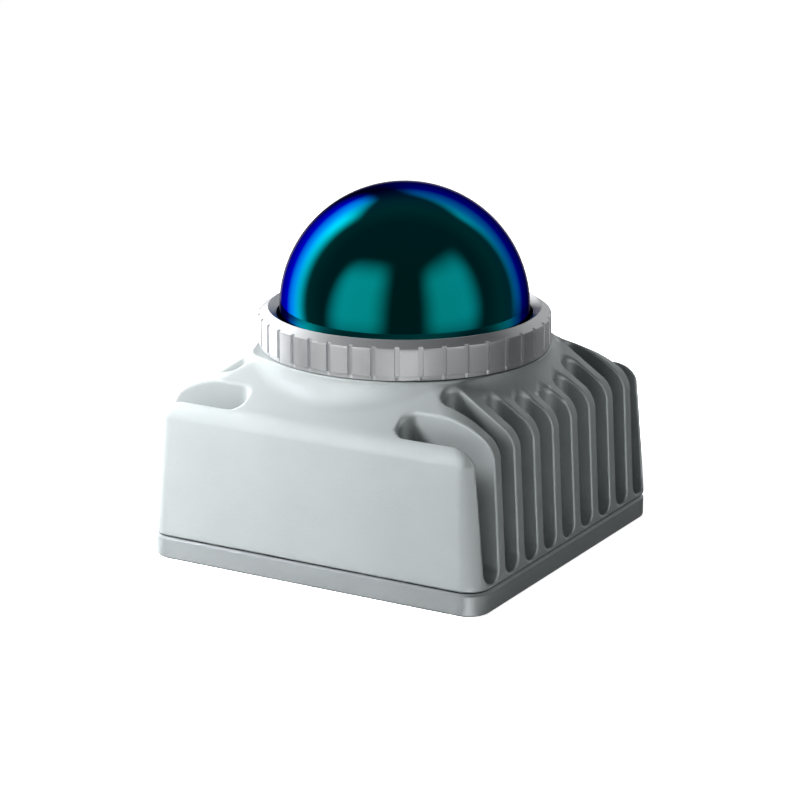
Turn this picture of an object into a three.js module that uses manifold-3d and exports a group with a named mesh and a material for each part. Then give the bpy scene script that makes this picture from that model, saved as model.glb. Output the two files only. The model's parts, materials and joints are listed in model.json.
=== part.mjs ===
// Compact dome-window laser scanner, in millimetres, +Z up. The origin is the centre of the bottom face.
// The plain front is -Y, the finned sides are +X and -X, and the plug connector is on the back, +Y.
// A finned aluminium housing stands on a separate base plate. A grooved ring clamps the dome window.
// Inside, an outer-rotor motor turns the optics head about Z, and a second motor in the head
// spins a four-sided mirror about a level axis.

import * as THREE from "three";
import { mergeVertices } from "three/addons/utils/BufferGeometryUtils.js";
import Module from "manifold-3d";

const wasm = await Module();
wasm.setup();

// ---- Driving dimensions -------------------------------------------------------------------

const FOOTPRINT = 65; // side of the square base
const HALF = FOOTPRINT / 2;
const CORNER = 4; // radius of the upright corner edges
const GAP = 0.3; // between pieces that touch in the real object

const BASE_TOP = 3.9; // top face of the base plate
const BASE_CHAMFER = 0.35;
const BOSS = { radius: 23.2, top: 5.2 }; // raised disc on the base plate, inside the cavity
const HOUSING_BOTTOM = BASE_TOP + GAP;

const DRAFT = 0.055; // how far the housing walls lean in, mm per mm of height
const DRAFT_FROM = 5; // height at which the wall is exactly HALF from the axis
const SLOPE = 0.66; // rise of the hipped top per mm inwards
const SLOPE_AT = { half: 31.2, z: 27.2 }; // a point of the sloped top
const SHOULDER = 2.5; // length of the shoulder rounding along each face
const NECK = { radius: 25.3, low: 29, top: 34.6, bore: 24.2 };
const LEDGE = { low: 29.5, top: 31.6, bore: 20.8 }; // inner ledge that carries the window
const CAVITY_RADIUS = 24;

const SLOT = { pitch: 6.886, width: 4.6, low: 4.8 }; // upright cooling slots in both finned sides
const SLOT_ENDS = [26.6, 25.6, 23.8, 19.6, 15]; // distance of each slot's inner end from the mid plane

const RING = { radius: 25.4, low: 34.9, wallTop: 40.5, top: 41.54, rim: 23.67, bore: 22.2 };
const RING_GROOVES = { count: 40, width: 0.85, depth: 0.42, low: 35.5 };
const SPIGOT = { radius: 23.8, low: 34.2 }; // threaded part of the ring, inside the neck

const DOME = { radius: 21.66, centre: 41.31, wall: 1.4, flange: 23.7 };
const DOME_FLANGE = { low: 32.3, top: 33.9 };

const PLUG = { z: 13.5, seat: 31.6, end: 42, thread: 6, flange: 7.8, bore: 4.4, rear: 4.9, back: 23.2 };
const PINS = { count: 8, circle: 2.75, radius: 0.4 };

const BASE_SCREWS = { x: 11.5, y: 26.5, shank: 1.1, head: 2.3 };
const MOUNT_HOLES = { at: 26, radius: 1.5, depth: 3 }; // threaded holes for the user's M3 screws

const MAIN_BOARD = { radius: 22.6, low: 6.8, top: 8.4 };
const POWER_BOARD = { radius: 21.8, low: 12.2, top: 13.4 };
const POSTS = { circle: 19, radius: 2.2, stud: 1.1 };
const POST_ANGLES = [30, 150, 270];

const MOTOR_BASE = { radius: 23.6, low: 15, top: 17, tube: 8.2, tubeTop: 29.4 };
const BEARING = { bore: 3, outer: 6.5, width: 3.5, ball: 1, pitch: 4.75, balls: 7 };
const BEARING_Z = { lower: 16.5, upper: 25.9 };
const STATOR = { low: 19.5, top: 24, hub: 8.4, yoke: 10.4, tip: 15.2, teeth: 9, toothHalf: 1.2 };
const SKIRT = { inner: 17.9, outer: 19.4, low: 18.8 };
const CUP_TOP = { low: 30.2, top: 31.6 };
const TURNTABLE = { radius: 19.4, low: 31.9, top: 33.3 };

const HEAD_BASE = { halfX: 12.8, halfY: 13, low: 33.6, top: 35 };
const MIRROR = { y: 4, z: 46.5, radius: 8, halfLength: 7.3, shaft: 1.2 };
const LENS_Z = 43.5;
const LENSES = { emit: { x: -5.2, radius: 2.4 }, receive: { x: 3.4, radius: 4.6 } };

// ---- Finishes -----------------------------------------------------------------------------

function finish(color, roughness, metalness) {
  return new THREE.MeshStandardMaterial({ color, roughness, metalness });
}

const FINISH = {
  aluminium: finish(0xa9b0b1, 0.45, 0.9),
  ringAluminium: finish(0xbfc3c6, 0.35, 0.9),
  window: finish(0x061a24, 0.05, 0.4),
  steel: finish(0x9da1a5, 0.3, 1),
  rubber: finish(0x141414, 0.8, 0),
  blackPlastic: finish(0x1b1b1c, 0.5, 0),
  gold: finish(0xd9b25a, 0.25, 1),
  board: finish(0x14502c, 0.5, 0.1),
  copper: finish(0xb06a35, 0.35, 0.9),
  ferrite: finish(0x2a2a2d, 0.7, 0.1),
  pad: finish(0x8fa3b8, 0.9, 0),
  brass: finish(0xb5954e, 0.35, 1),
  glass: finish(0x7fa6b5, 0.05, 0),
  mirror: finish(0xe6e8ea, 0.02, 1),
};

// ---- Geometry helpers ---------------------------------------------------------------------

// Positive where the triangles face outwards. Only the sign is used.
function signedVolume(position, index) {
  const [a, b, c] = [new THREE.Vector3(), new THREE.Vector3(), new THREE.Vector3()];
  let sum = 0;
  for (let i = 0; i < index.length; i += 3) {
    a.fromBufferAttribute(position, index[i]);
    b.fromBufferAttribute(position, index[i + 1]);
    c.fromBufferAttribute(position, index[i + 2]);
    sum += a.dot(b.cross(c));
  }
  return sum;
}

// A closed three.js geometry as a solid that can be joined and cut.
function solid(geometry) {
  const bare = new THREE.BufferGeometry();
  bare.setAttribute("position", geometry.getAttribute("position"));
  bare.setIndex(geometry.getIndex());
  const merged = mergeVertices(bare, 1e-4);
  const corners = merged.getIndex().array;
  const triangles = [];
  for (let i = 0; i < corners.length; i += 3) {
    const [a, b, c] = [corners[i], corners[i + 1], corners[i + 2]];
    if (a !== b && b !== c && c !== a) triangles.push(a, b, c);
  }
  if (signedVolume(merged.getAttribute("position"), triangles) < 0) triangles.reverse();
  return new wasm.Manifold(
    new wasm.Mesh({
      numProp: 3,
      vertProperties: merged.getAttribute("position").array,
      triVerts: new Uint32Array(triangles),
    }),
  );
}

function join(first, ...others) {
  return others.reduce((sum, other) => sum.add(other), first);
}

function cut(body, ...tools) {
  return tools.reduce((rest, tool) => rest.subtract(tool), body);
}

function box(x0, x1, y0, y1, z0, z1) {
  const geometry = new THREE.BoxGeometry(x1 - x0, y1 - y0, z1 - z0);
  geometry.translate((x0 + x1) / 2, (y0 + y1) / 2, (z0 + z1) / 2);
  return solid(geometry);
}

// A body of revolution about Z from [radius, height] pairs that run round its section.
function revolve(section, segments = 24) {
  const closed = [...section, section[0]];
  const geometry = new THREE.LatheGeometry(
    closed.map(([radius, z]) => new THREE.Vector2(radius, z)),
    segments,
  );
  geometry.rotateX(Math.PI / 2);
  return solid(geometry);
}

function disc(radius, z0, z1, segments = 24) {
  return revolve([[0, z0], [radius, z0], [radius, z1], [0, z1]], segments);
}

function tube(inner, outer, z0, z1, segments = 24) {
  return revolve([[inner, z0], [outer, z0], [outer, z1], [inner, z1]], segments);
}

// A flat outline raised from z0 to z1.
function prism(shape, z0, z1, curveSegments = 6) {
  const geometry = new THREE.ExtrudeGeometry(shape, {
    depth: z1 - z0,
    bevelEnabled: false,
    curveSegments,
  });
  geometry.translate(0, 0, z0);
  return solid(geometry);
}

function polar(radius, degrees) {
  const angle = THREE.MathUtils.degToRad(degrees);
  return [radius * Math.cos(angle), radius * Math.sin(angle)];
}

// The outline of a square with rounded corners, as points.
function roundedSquare(half, corner, perCorner = 4) {
  const inset = half - corner;
  const points = [];
  for (let quarter = 0; quarter < 4; quarter += 1) {
    const middle = 45 + 90 * quarter;
    const [sx, sy] = [Math.sign(polar(1, middle)[0]), Math.sign(polar(1, middle)[1])];
    for (let i = 0; i <= perCorner; i += 1) {
      const [dx, dy] = polar(corner, middle - 45 + (90 * i) / perCorner);
      points.push([sx * inset + dx, sy * inset + dy]);
    }
  }
  return points;
}

// A closed body through a stack of rounded squares, each {half, corner, z}.
function loft(levels) {
  const rings = levels.map(({ half, corner, z }) =>
    roundedSquare(half, corner).map(([x, y]) => [x, y, z]),
  );
  const count = rings[0].length;
  const positions = [...rings.flat(), [0, 0, levels[0].z], [0, 0, levels.at(-1).z]].flat();
  const [low, high] = [rings.length * count, rings.length * count + 1];
  const index = [];
  for (let i = 0; i < count; i += 1) {
    const j = (i + 1) % count;
    for (let level = 0; level < rings.length - 1; level += 1) {
      const [a, b] = [level * count, (level + 1) * count];
      index.push(a + i, a + j, b + j, a + i, b + j, b + i);
    }
    const last = (rings.length - 1) * count;
    index.push(low, j, i, high, last + i, last + j);
  }
  const geometry = new THREE.BufferGeometry();
  geometry.setAttribute("position", new THREE.Float32BufferAttribute(positions, 3));
  geometry.setIndex(index);
  return solid(geometry);
}

function geometryOf(body) {
  const { numProp, vertProperties, triVerts } = body.getMesh();
  const positions = [];
  for (let i = 0; i < vertProperties.length; i += numProp) {
    positions.push(...vertProperties.subarray(i, i + 3));
  }
  const geometry = new THREE.BufferGeometry();
  geometry.setAttribute("position", new THREE.Float32BufferAttribute(positions, 3));
  geometry.setIndex([...triVerts]);
  return geometry;
}

function piece(name, body, material) {
  const mesh = new THREE.Mesh(geometryOf(body), material);
  mesh.name = name;
  return mesh;
}

// The same piece with its Z axis laid along +Y, standing at height z.
function alongY(mesh, z) {
  mesh.rotation.x = -Math.PI / 2;
  mesh.position.z = z;
  return mesh;
}

function turned(body, x, y, z) {
  return body.rotate([x, y, z]);
}

// ---- Housing, base and window -------------------------------------------------------------

function wallHalf(z) {
  return HALF - DRAFT * Math.max(z - DRAFT_FROM, 0);
}

// Where the leaning wall would meet the sloped top without its rounding.
function shoulderCorner() {
  const { half, z } = SLOPE_AT;
  const corner = (z + SLOPE * (half - HALF - DRAFT * DRAFT_FROM)) / (1 - SLOPE * DRAFT);
  return new THREE.Vector2(wallHalf(corner), corner);
}

// Half widths and heights of the outer form, from the seam up to the neck.
function housingLevels() {
  const corner = shoulderCorner();
  const inwards = Math.atan(SLOPE);
  const start = new THREE.Vector2(wallHalf(corner.y - SHOULDER), corner.y - SHOULDER);
  const end = new THREE.Vector2(
    corner.x - SHOULDER * Math.cos(inwards),
    corner.y + SHOULDER * Math.sin(inwards),
  );
  const rounding = new THREE.QuadraticBezierCurve(start, corner, end).getPoints(3);
  const top = new THREE.Vector2(corner.x - (NECK.top - corner.y) / SLOPE, NECK.top);
  const foot = [HOUSING_BOTTOM, DRAFT_FROM].map((z) => new THREE.Vector2(wallHalf(z), z));
  const outline = [...foot, ...rounding, top];
  return outline.map(({ x, y }) => ({ half: x, corner: CORNER, z: y }));
}

// A cutter for one slot on +X: an upright slot with a round lower end.
function slotCutter(innerEnd, y) {
  const radius = SLOT.width / 2;
  const shape = new THREE.Shape();
  shape.moveTo(-radius, NECK.top + 1);
  shape.lineTo(-radius, SLOT.low + radius);
  shape.absarc(0, SLOT.low + radius, radius, Math.PI, 2 * Math.PI, false);
  shape.lineTo(radius, NECK.top + 1);
  const upright = turned(prism(shape, innerEnd, HALF + 2, 3), 90, 0, 90);
  return upright.translate([0, y, 0]);
}

function slotCutters() {
  const middle = SLOT_ENDS.length - 1;
  const cutters = [];
  for (let k = -middle; k <= middle; k += 1) {
    const right = slotCutter(SLOT_ENDS[Math.abs(k)], k * SLOT.pitch);
    cutters.push(right, turned(right, 0, 0, 180));
  }
  return cutters;
}

function baseScrewPlaces() {
  const { x, y } = BASE_SCREWS;
  return [[x, y], [-x, y], [-x, -y], [x, -y]];
}

function housing() {
  const outside = join(loft(housingLevels()), disc(NECK.radius, NECK.low, NECK.top, 40));
  const cavity = join(
    disc(CAVITY_RADIUS, HOUSING_BOTTOM - 1, LEDGE.low, 40),
    disc(LEDGE.bore, LEDGE.low - 1, NECK.top),
    disc(NECK.bore, LEDGE.top, NECK.top + 1, 40),
  );
  const nutPocket = box(-9.4, 9.4, 18, 26.3, PLUG.z - 8.3, PLUG.z + 8.3);
  const plugHole = disc(PLUG.thread + GAP, 20, 34, 24);
  const spotFace = disc(PLUG.flange + 0.5, PLUG.seat, 34, 24);
  const plugCut = turned(join(plugHole, spotFace), -90, 0, 0).translate([0, 0, PLUG.z]);
  const screwHoles = baseScrewPlaces().map(([x, y]) =>
    disc(BASE_SCREWS.shank + GAP, HOUSING_BOTTOM - 1, 11, 12).translate([x, y, 0]),
  );
  return cut(outside, cavity, nutPocket, plugCut, ...screwHoles, ...slotCutters());
}

function basePlate() {
  const edge = HALF - BASE_CHAMFER;
  const plate = loft([
    { half: edge, corner: CORNER - BASE_CHAMFER, z: 0 },
    { half: HALF, corner: CORNER, z: BASE_CHAMFER },
    { half: HALF, corner: CORNER, z: BASE_TOP - BASE_CHAMFER },
    { half: edge, corner: CORNER - BASE_CHAMFER, z: BASE_TOP },
  ]);
  const boss = disc(BOSS.radius, BASE_TOP - 1, BOSS.top);
  const gasketGroove = tube(25.3, 26.7, BASE_TOP - 0.8, BASE_TOP + 1);
  const screwCuts = baseScrewPlaces().map(([x, y]) =>
    join(disc(BASE_SCREWS.shank + GAP, -1, 5, 12), disc(BASE_SCREWS.head + GAP, -1, 1.8, 12)).translate(
      [x, y, 0],
    ),
  );
  const { at, radius, depth } = MOUNT_HOLES;
  const mountCuts = [[at, at], [-at, at], [-at, -at], [at, -at]].map(([x, y]) =>
    disc(radius, -1, depth, 10).translate([x, y, 0]),
  );
  return cut(join(plate, boss), gasketGroove, ...screwCuts, ...mountCuts);
}

function baseScrew() {
  const { shank, head } = BASE_SCREWS;
  const body = revolve(
    [[0, 0.3], [head, 0.3], [head, 1.6], [shank, 1.6], [shank, 10.4], [0, 10.8]],
    12,
  );
  return cut(body, disc(1.15, 0, 1.1, 6));
}

// The clamping ring: a threaded spigot below, upright grooves for a spanner round its wall.
function windowRing() {
  const { radius, low, wallTop, top, rim, bore } = RING;
  const ring = revolve(
    [
      [bore, SPIGOT.low],
      [SPIGOT.radius, SPIGOT.low],
      [SPIGOT.radius, low],
      [radius - 0.25, low],
      [radius - 0.25, low + 0.7],
      [radius, low + 0.8],
      [radius, wallTop],
      [rim, top],
      [bore, top - 0.9],
    ],
    40,
  );
  const { count, width, depth, low: grooveLow } = RING_GROOVES;
  const groove = box(radius - depth, radius + 1, -width / 2, width / 2, grooveLow, wallTop + 1);
  const grooves = Array.from({ length: count }, (_, i) => turned(groove, 0, 0, (360 * i) / count));
  return cut(ring, ...grooves);
}

// The dome window: a half sphere on a straight skirt, with a flange that the ring presses down.
function domeWindow() {
  const { radius, centre, wall, flange } = DOME;
  const { low, top } = DOME_FLANGE;
  const steps = 7;
  const arc = (r, from, to) =>
    Array.from({ length: steps + 1 }, (_, i) => {
      const [x, z] = polar(r, from + ((to - from) * i) / steps);
      return [Math.max(x, 0), centre + z];
    });
  const inner = radius - wall;
  const section = [
    [inner, low],
    [flange, low],
    [flange, top],
    [radius, top],
    ...arc(radius, 0, 90),
    ...arc(inner, 90, 0),
  ];
  return revolve(section, 32);
}

// ---- Plug connector -----------------------------------------------------------------------

function pinPlaces() {
  const ring = PINS.count - 1;
  const places = Array.from({ length: ring }, (_, i) => polar(PINS.circle, 90 + (360 * (i + 0.5)) / ring));
  return [...places, [0, 0]];
}

function connectorShell() {
  const { seat, end, thread, flange, bore, rear, back } = PLUG;
  const shoulder = seat + 2.9;
  const body = revolve(
    [
      [rear, back],
      [thread - 0.15, back],
      [thread - 0.15, seat + GAP],
      [flange, seat + GAP],
      [flange, seat + 2.1],
      [thread - 0.35, seat + 2.1],
      [thread - 0.35, seat + 2.9],
      [thread, seat + 3.1],
      [thread, end - 0.4],
      [thread - 0.4, end],
      [bore, end],
      [bore, shoulder],
      [rear, shoulder],
    ],
    24,
  );
  const sealGroove = tube(6.4, 7.4, seat, seat + 1.1, 24);
  const key = box(-0.5, 0.5, bore - 0.5, bore + 0.3, shoulder + 0.5, end - 0.8);
  return join(cut(body, sealGroove), key);
}

function connectorInsert() {
  const { seat, rear, back } = PLUG;
  const body = disc(rear - 0.15, back + 0.8, seat + 2.6, 24);
  const holes = pinPlaces().map(([x, y]) => disc(PINS.radius + 0.12, 20, 40, 6).translate([x, y, 0]));
  return cut(body, ...holes);
}

function connectorPin() {
  const { back, end } = PLUG;
  const { radius } = PINS;
  return revolve([[0, back + 0.1], [radius, back + 0.1], [radius, end - 1.6], [0, end - 1.1]], 6);
}

function connector() {
  const { seat, thread } = PLUG;
  const group = new THREE.Group();
  const nut = cut(disc(8.05, 24, 26.1, 6), disc(thread + 0.1, 23, 27, 24));
  group.add(
    piece("connector_shell", connectorShell(), FINISH.steel),
    piece("connector_insert", connectorInsert(), FINISH.blackPlastic),
    piece("connector_nut", nut, FINISH.steel),
    piece("connector_seal", tube(6.5, 7.3, seat + 0.05, seat + 1, 24), FINISH.rubber),
  );
  const pin = connectorPin();
  pinPlaces().forEach(([x, y], i) => {
    const mesh = piece(`connector_pin_${i + 1}`, pin, FINISH.gold);
    mesh.position.set(x, y, 0);
    group.add(mesh);
  });
  return alongY(group, PLUG.z);
}

// ---- Boards and posts ---------------------------------------------------------------------

function postPlaces() {
  return POST_ANGLES.map((angle) => polar(POSTS.circle, angle));
}

function boardBlank({ radius, low, top }) {
  const holes = postPlaces().map(([x, y]) => disc(POSTS.stud + 0.3, 0, 20, 8).translate([x, y, 0]));
  return cut(disc(radius, low, top), ...holes);
}

// The processor, network and memory packages stand on the board, which they are soldered to.
function mainBoard() {
  const { low, top } = MAIN_BOARD;
  return join(
    boardBlank(MAIN_BOARD),
    box(-6, 6, -7, 5, top - 0.2, top + 1.6),
    box(8.5, 14.5, -5, 3, top - 0.2, top + 1),
    box(-9, 9, -15.5, -11.5, top - 0.2, top + 1.6),
    box(-4, 4, 15.2, 18.6, top - 0.2, top + 2.4),
    box(-5, 5, -5, 5, low - 0.05, low + 0.2),
  );
}

// Coils and capacitors of the supply. The notch in the rim lets the wires pass.
function powerBoard() {
  const { low, top } = POWER_BOARD;
  const notched = cut(boardBlank(POWER_BOARD), box(-5, 5, 19, 24, low - 1, top + 1));
  return join(
    notched,
    box(8, 14, 2, 8, low - 2.4, low + 0.2),
    box(8, 14, -9, -3, low - 2.4, low + 0.2),
    box(-5, 3, -13.5, -11.5, low - 1.8, low + 0.2),
  );
}

// A threaded spacer with a stud that passes through the board above it.
function post(low, high, studTop) {
  const { radius, stud } = POSTS;
  return revolve([[0, low], [radius, low], [radius, high], [stud, high], [stud, studTop], [0, studTop]], 6);
}

function posts() {
  const group = new THREE.Group();
  const low = post(BOSS.top + 0.1, MAIN_BOARD.low - 0.1, MAIN_BOARD.top);
  const mid = post(MAIN_BOARD.top + 0.1, POWER_BOARD.low - 0.1, POWER_BOARD.top);
  postPlaces().forEach(([x, y], i) => {
    const lowPost = piece(`post_low_${i + 1}`, low, FINISH.brass);
    const midPost = piece(`post_mid_${i + 1}`, mid, FINISH.brass);
    lowPost.position.set(x, y, 0);
    midPost.position.set(x, y, 0);
    group.add(lowPost, midPost);
  });
  return group;
}

// The flat bundle of wires from the connector's pins down to the main board's header.
function wireHarness() {
  const path = new THREE.CatmullRomCurve3([
    new THREE.Vector3(0, 22.9, 13.5),
    new THREE.Vector3(0, 21.6, 12.6),
    new THREE.Vector3(0, 20.6, 11),
    new THREE.Vector3(0, 19.9, 9.6),
    new THREE.Vector3(0, 19.1, 9.1),
  ]);
  const section = new THREE.Shape([
    new THREE.Vector2(-3, -0.5),
    new THREE.Vector2(3, -0.5),
    new THREE.Vector2(3, 0.5),
    new THREE.Vector2(-3, 0.5),
  ]);
  return solid(new THREE.ExtrudeGeometry(section, { steps: 8, extrudePath: path, bevelEnabled: false }));
}

// ---- Motor and its bearings ---------------------------------------------------------------

// The plate that carries the stator, with the bearing tube and three legs on the power board.
function motorBase() {
  const { radius, low, top, tube: tubeRadius, tubeTop } = MOTOR_BASE;
  const seat = BEARING.outer + 0.05;
  const throat = BEARING.outer - 0.7;
  const body = revolve([
    [seat, low],
    [radius, low],
    [radius, top],
    [tubeRadius, top],
    [tubeRadius, tubeTop],
    [seat, tubeTop],
    [seat, BEARING_Z.upper - 0.1],
    [throat, BEARING_Z.upper - 0.1],
    [throat, BEARING_Z.lower + BEARING.width + 0.1],
    [seat, BEARING_Z.lower + BEARING.width + 0.1],
  ]);
  const legs = postPlaces().map(([x, y]) =>
    disc(POSTS.radius, POWER_BOARD.top + 0.1, low + 0.5, 12).translate([x, y, 0]),
  );
  const plugNotch = box(-5.5, 5.5, 21.5, 25, low - 1, top + 1);
  return cut(join(body, ...legs), plugNotch);
}

function bearingOuter(z) {
  const { outer, width, ball, pitch } = BEARING;
  const race = pitch + ball + 0.1;
  const mid = z + width / 2;
  return revolve(
    [[outer, z], [outer, z + width], [race - 0.4, z + width], [race, mid + 0.7], [race, mid - 0.7], [race - 0.4, z]],
    24,
  );
}

function bearingInner(z) {
  const { bore, width, ball, pitch } = BEARING;
  const race = pitch - ball - 0.1;
  const mid = z + width / 2;
  const wall = bore + 0.02;
  return revolve(
    [[wall, z], [race + 0.3, z], [race, mid - 0.7], [race, mid + 0.7], [race + 0.3, z + width], [wall, z + width]],
    24,
  );
}

// The balls with the cage that spaces them.
function ballCage(z) {
  const { width, ball, pitch, balls } = BEARING;
  const mid = z + width / 2;
  const cage = tube(pitch - 0.25, pitch + 0.25, mid - 0.8, mid + 0.8, 21);
  const sphere = new THREE.SphereGeometry(ball, 7, 5);
  const ballBodies = Array.from({ length: balls }, (_, i) => {
    const [x, y] = polar(pitch, (360 * i) / balls);
    return solid(sphere).translate([x, y, mid]);
  });
  return join(cage, ...ballBodies);
}

function statorCore() {
  const { low, top, hub, yoke, tip, teeth, toothHalf } = STATOR;
  const shoe = tip - 1.5;
  const tooth = box(yoke - 0.5, tip - 0.3, -toothHalf, toothHalf, low, top);
  const shoeBand = tube(shoe, tip, low, top, 36);
  const opening = box(shoe - 1, tip + 1, -0.8, 0.8, low - 1, top + 1);
  const openings = Array.from({ length: teeth }, (_, i) =>
    turned(opening, 0, 0, (360 * (i + 0.5)) / teeth),
  );
  const toothBodies = Array.from({ length: teeth }, (_, i) => turned(tooth, 0, 0, (360 * i) / teeth));
  return join(tube(hub, yoke, low, top, 27), ...toothBodies, cut(shoeBand, ...openings));
}

// One coil round each tooth, tied together by the insulating end ring.
function statorWindings() {
  const { low, top, hub, yoke, tip, teeth, toothHalf } = STATOR;
  const [inner, outer] = [yoke + 0.2, tip - 1.7];
  const coil = cut(
    box(inner, outer, -toothHalf - 1, toothHalf + 1, low - 1.2, top + 1.2),
    box(inner - 1, outer + 1, -toothHalf - 0.15, toothHalf + 0.15, low - 0.15, top + 0.15),
  );
  const coils = Array.from({ length: teeth }, (_, i) => turned(coil, 0, 0, (360 * i) / teeth));
  return join(tube(hub + 0.1, inner + 0.5, top + 0.3, top + 1, 27), ...coils);
}

function rotorCup() {
  const { inner, outer, low } = SKIRT;
  const flange = { radius: 23.2, low: 24.2, top: 24.9 };
  return revolve([
    [3.1, CUP_TOP.low],
    [inner, CUP_TOP.low],
    [inner, low],
    [outer, low],
    [outer, flange.low],
    [flange.radius, flange.low],
    [flange.radius, flange.top],
    [outer, flange.top],
    [outer, CUP_TOP.top],
    [3.1, CUP_TOP.top],
  ]);
}

// A thin ring whose rim teeth pass over the optical reader.
function encoderDisc() {
  const [rim, teeth] = [22.9, 20];
  const ring = tube(SKIRT.inner + 0.1, rim, 18, 18.6, 40);
  const notch = box(rim - 1.2, rim + 1, -0.9, 0.9, 17, 19);
  const notches = Array.from({ length: teeth }, (_, i) => turned(notch, 0, 0, (360 * i) / teeth));
  return cut(ring, ...notches);
}

function motorFixedPieces() {
  const group = new THREE.Group();
  group.add(
    piece("motor_base", motorBase(), FINISH.aluminium),
    piece("stator_core", statorCore(), FINISH.steel),
    piece("stator_windings", statorWindings(), FINISH.copper),
    piece("bearing_lower_outer", bearingOuter(BEARING_Z.lower), FINISH.steel),
    piece("bearing_upper_outer", bearingOuter(BEARING_Z.upper), FINISH.steel),
    piece("encoder_reader", box(-23, -19.4, -3, 3, 17.1, 17.7), FINISH.blackPlastic),
    piece("power_coil_fixed", tube(21, 23.6, 27.3, 29.3), FINISH.ferrite),
    piece("link_emitter", disc(1.8, POWER_BOARD.top + 0.1, 14.2, 16), FINISH.blackPlastic),
  );
  return group;
}

// ---- Scanning rotor -----------------------------------------------------------------------

// The bracket that carries the mirror between two uprights.
function headFrame() {
  const { halfX, halfY, low, top } = HEAD_BASE;
  const inner = halfX - 1.4;
  const floor = box(-halfX, halfX, -halfY, halfY, low, top);
  const upright = box(inner, halfX, MIRROR.y - 5, MIRROR.y + 5, top - 0.5, 51);
  const bearingHole = turned(disc(MIRROR.shaft + 0.1, -20, 20, 20), 0, 90, 0);
  return cut(
    join(floor, upright, turned(upright, 0, 0, 180).translate([0, 2 * MIRROR.y, 0])),
    disc(3.6, low - 1, top + 1, 20),
    bearingHole.translate([0, MIRROR.y, MIRROR.z]),
  );
}

function lensBlock() {
  const body = box(-8.7, 8.7, -11.2, -5, 38, 49.2);
  const bores = Object.values(LENSES).map(({ x, radius }) =>
    turned(disc(radius, 0, 20, 28), 90, 0, 0).translate([x, 0, LENS_Z]),
  );
  return cut(body, ...bores);
}

// A lens that bulges on both faces, with its axis along Y.
function lens(radius) {
  const bulge = radius * 0.16;
  return revolve(
    [[0, -0.6 - bulge], [radius * 0.6, -0.6 - bulge * 0.65], [radius, -0.6], [radius, 0.6],
      [radius * 0.6, 0.6 + bulge * 0.65], [0, 0.6 + bulge]],
    24,
  );
}

function placedLens(name, { x, radius }) {
  const mesh = piece(name, lens(radius - 0.1), FINISH.glass);
  mesh.rotation.x = -Math.PI / 2;
  mesh.position.set(x, -7, LENS_Z);
  return mesh;
}

function transceiverBoard() {
  return join(
    box(-9.5, 9.5, -12.4, -11.5, 35.3, 50.5),
    box(-3, 8, -14.2, -12.3, 38, 47),
    box(-8, -5, -13.6, -12.3, 40, 46),
  );
}

function scanRotor() {
  const group = new THREE.Group();
  const mirrorStator = turned(tube(MIRROR.shaft + 0.3, 4.8, 9.8, 11.2, 28), 0, 90, 0);
  group.add(
    piece("rotor_shaft", tube(2, BEARING.bore - 0.03, 14.5, 33.1, 32), FINISH.steel),
    piece("rotor_cup", rotorCup(), FINISH.steel),
    piece("magnet_ring", tube(15.7, SKIRT.inner - 0.15, 19.3, 24.4), FINISH.ferrite),
    piece("bearing_lower_inner", bearingInner(BEARING_Z.lower), FINISH.steel),
    piece("bearing_upper_inner", bearingInner(BEARING_Z.upper), FINISH.steel),
    piece("encoder_disc", encoderDisc(), FINISH.steel),
    piece("power_coil_rotor", tube(19.7, 23.1, 25.1, 26.7), FINISH.ferrite),
    piece("turntable", tube(3.2, TURNTABLE.radius, TURNTABLE.low, TURNTABLE.top), FINISH.aluminium),
    piece("head_frame", headFrame(), FINISH.aluminium),
    piece("transceiver_board", transceiverBoard(), FINISH.board),
    piece("lens_block", lensBlock(), FINISH.blackPlastic),
    placedLens("emit_lens", LENSES.emit),
    placedLens("receive_lens", LENSES.receive),
    piece("mirror_stator", mirrorStator.translate([0, MIRROR.y, MIRROR.z]), FINISH.copper),
    piece("link_receiver", disc(2.2, 33.5, 36.4, 16), FINISH.blackPlastic),
    piece("balance_weight", box(-7, 7, 13.4, 16.6, 33.6, 38), FINISH.brass),
  );
  return group;
}

// The four-sided mirror and the hub with its shaft, both about a level axis.
function mirrorAssembly() {
  const { radius, halfLength, shaft } = MIRROR;
  const prismBody = disc(radius, -halfLength, halfLength, 4);
  const hub = join(disc(shaft, -12.5, 12.5, 20), disc(6, halfLength + 0.5, 9.4, 28));
  const group = new THREE.Group();
  group.add(
    piece("scan_mirror", cut(prismBody, disc(shaft + 0.12, -20, 20, 20)), FINISH.mirror),
    piece("mirror_hub", hub, FINISH.steel),
  );
  group.rotation.y = Math.PI / 2;
  group.position.set(0, MIRROR.y, MIRROR.z);
  return group;
}

// ---- The whole scanner --------------------------------------------------------------------

const scanner = new THREE.Group();
scanner.add(
  piece("housing", housing(), FINISH.aluminium),
  piece("base_plate", basePlate(), FINISH.aluminium),
  piece("base_gasket", tube(25.45, 26.55, BASE_TOP - 0.7, HOUSING_BOTTOM - 0.1), FINISH.rubber),
  piece("window_ring", windowRing(), FINISH.ringAluminium),
  piece("dome_window", domeWindow(), FINISH.window),
  piece("dome_gasket", tube(21.4, 23.4, LEDGE.top + 0.1, DOME_FLANGE.low - 0.1), FINISH.rubber),
  connector(),
  piece("main_board", mainBoard(), FINISH.board),
  piece("power_board", powerBoard(), FINISH.board),
  piece("thermal_pad", box(-4.9, 4.9, -4.9, 4.9, BOSS.top + 0.1, MAIN_BOARD.low - 0.15), FINISH.pad),
  piece("wire_harness", wireHarness(), FINISH.rubber),
  posts(),
  motorFixedPieces(),
  scanRotor(),
  mirrorAssembly(),
  piece("lower_ball_cage", ballCage(BEARING_Z.lower), FINISH.brass),
  piece("upper_ball_cage", ballCage(BEARING_Z.upper), FINISH.brass),
);
const screw = baseScrew();
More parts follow.
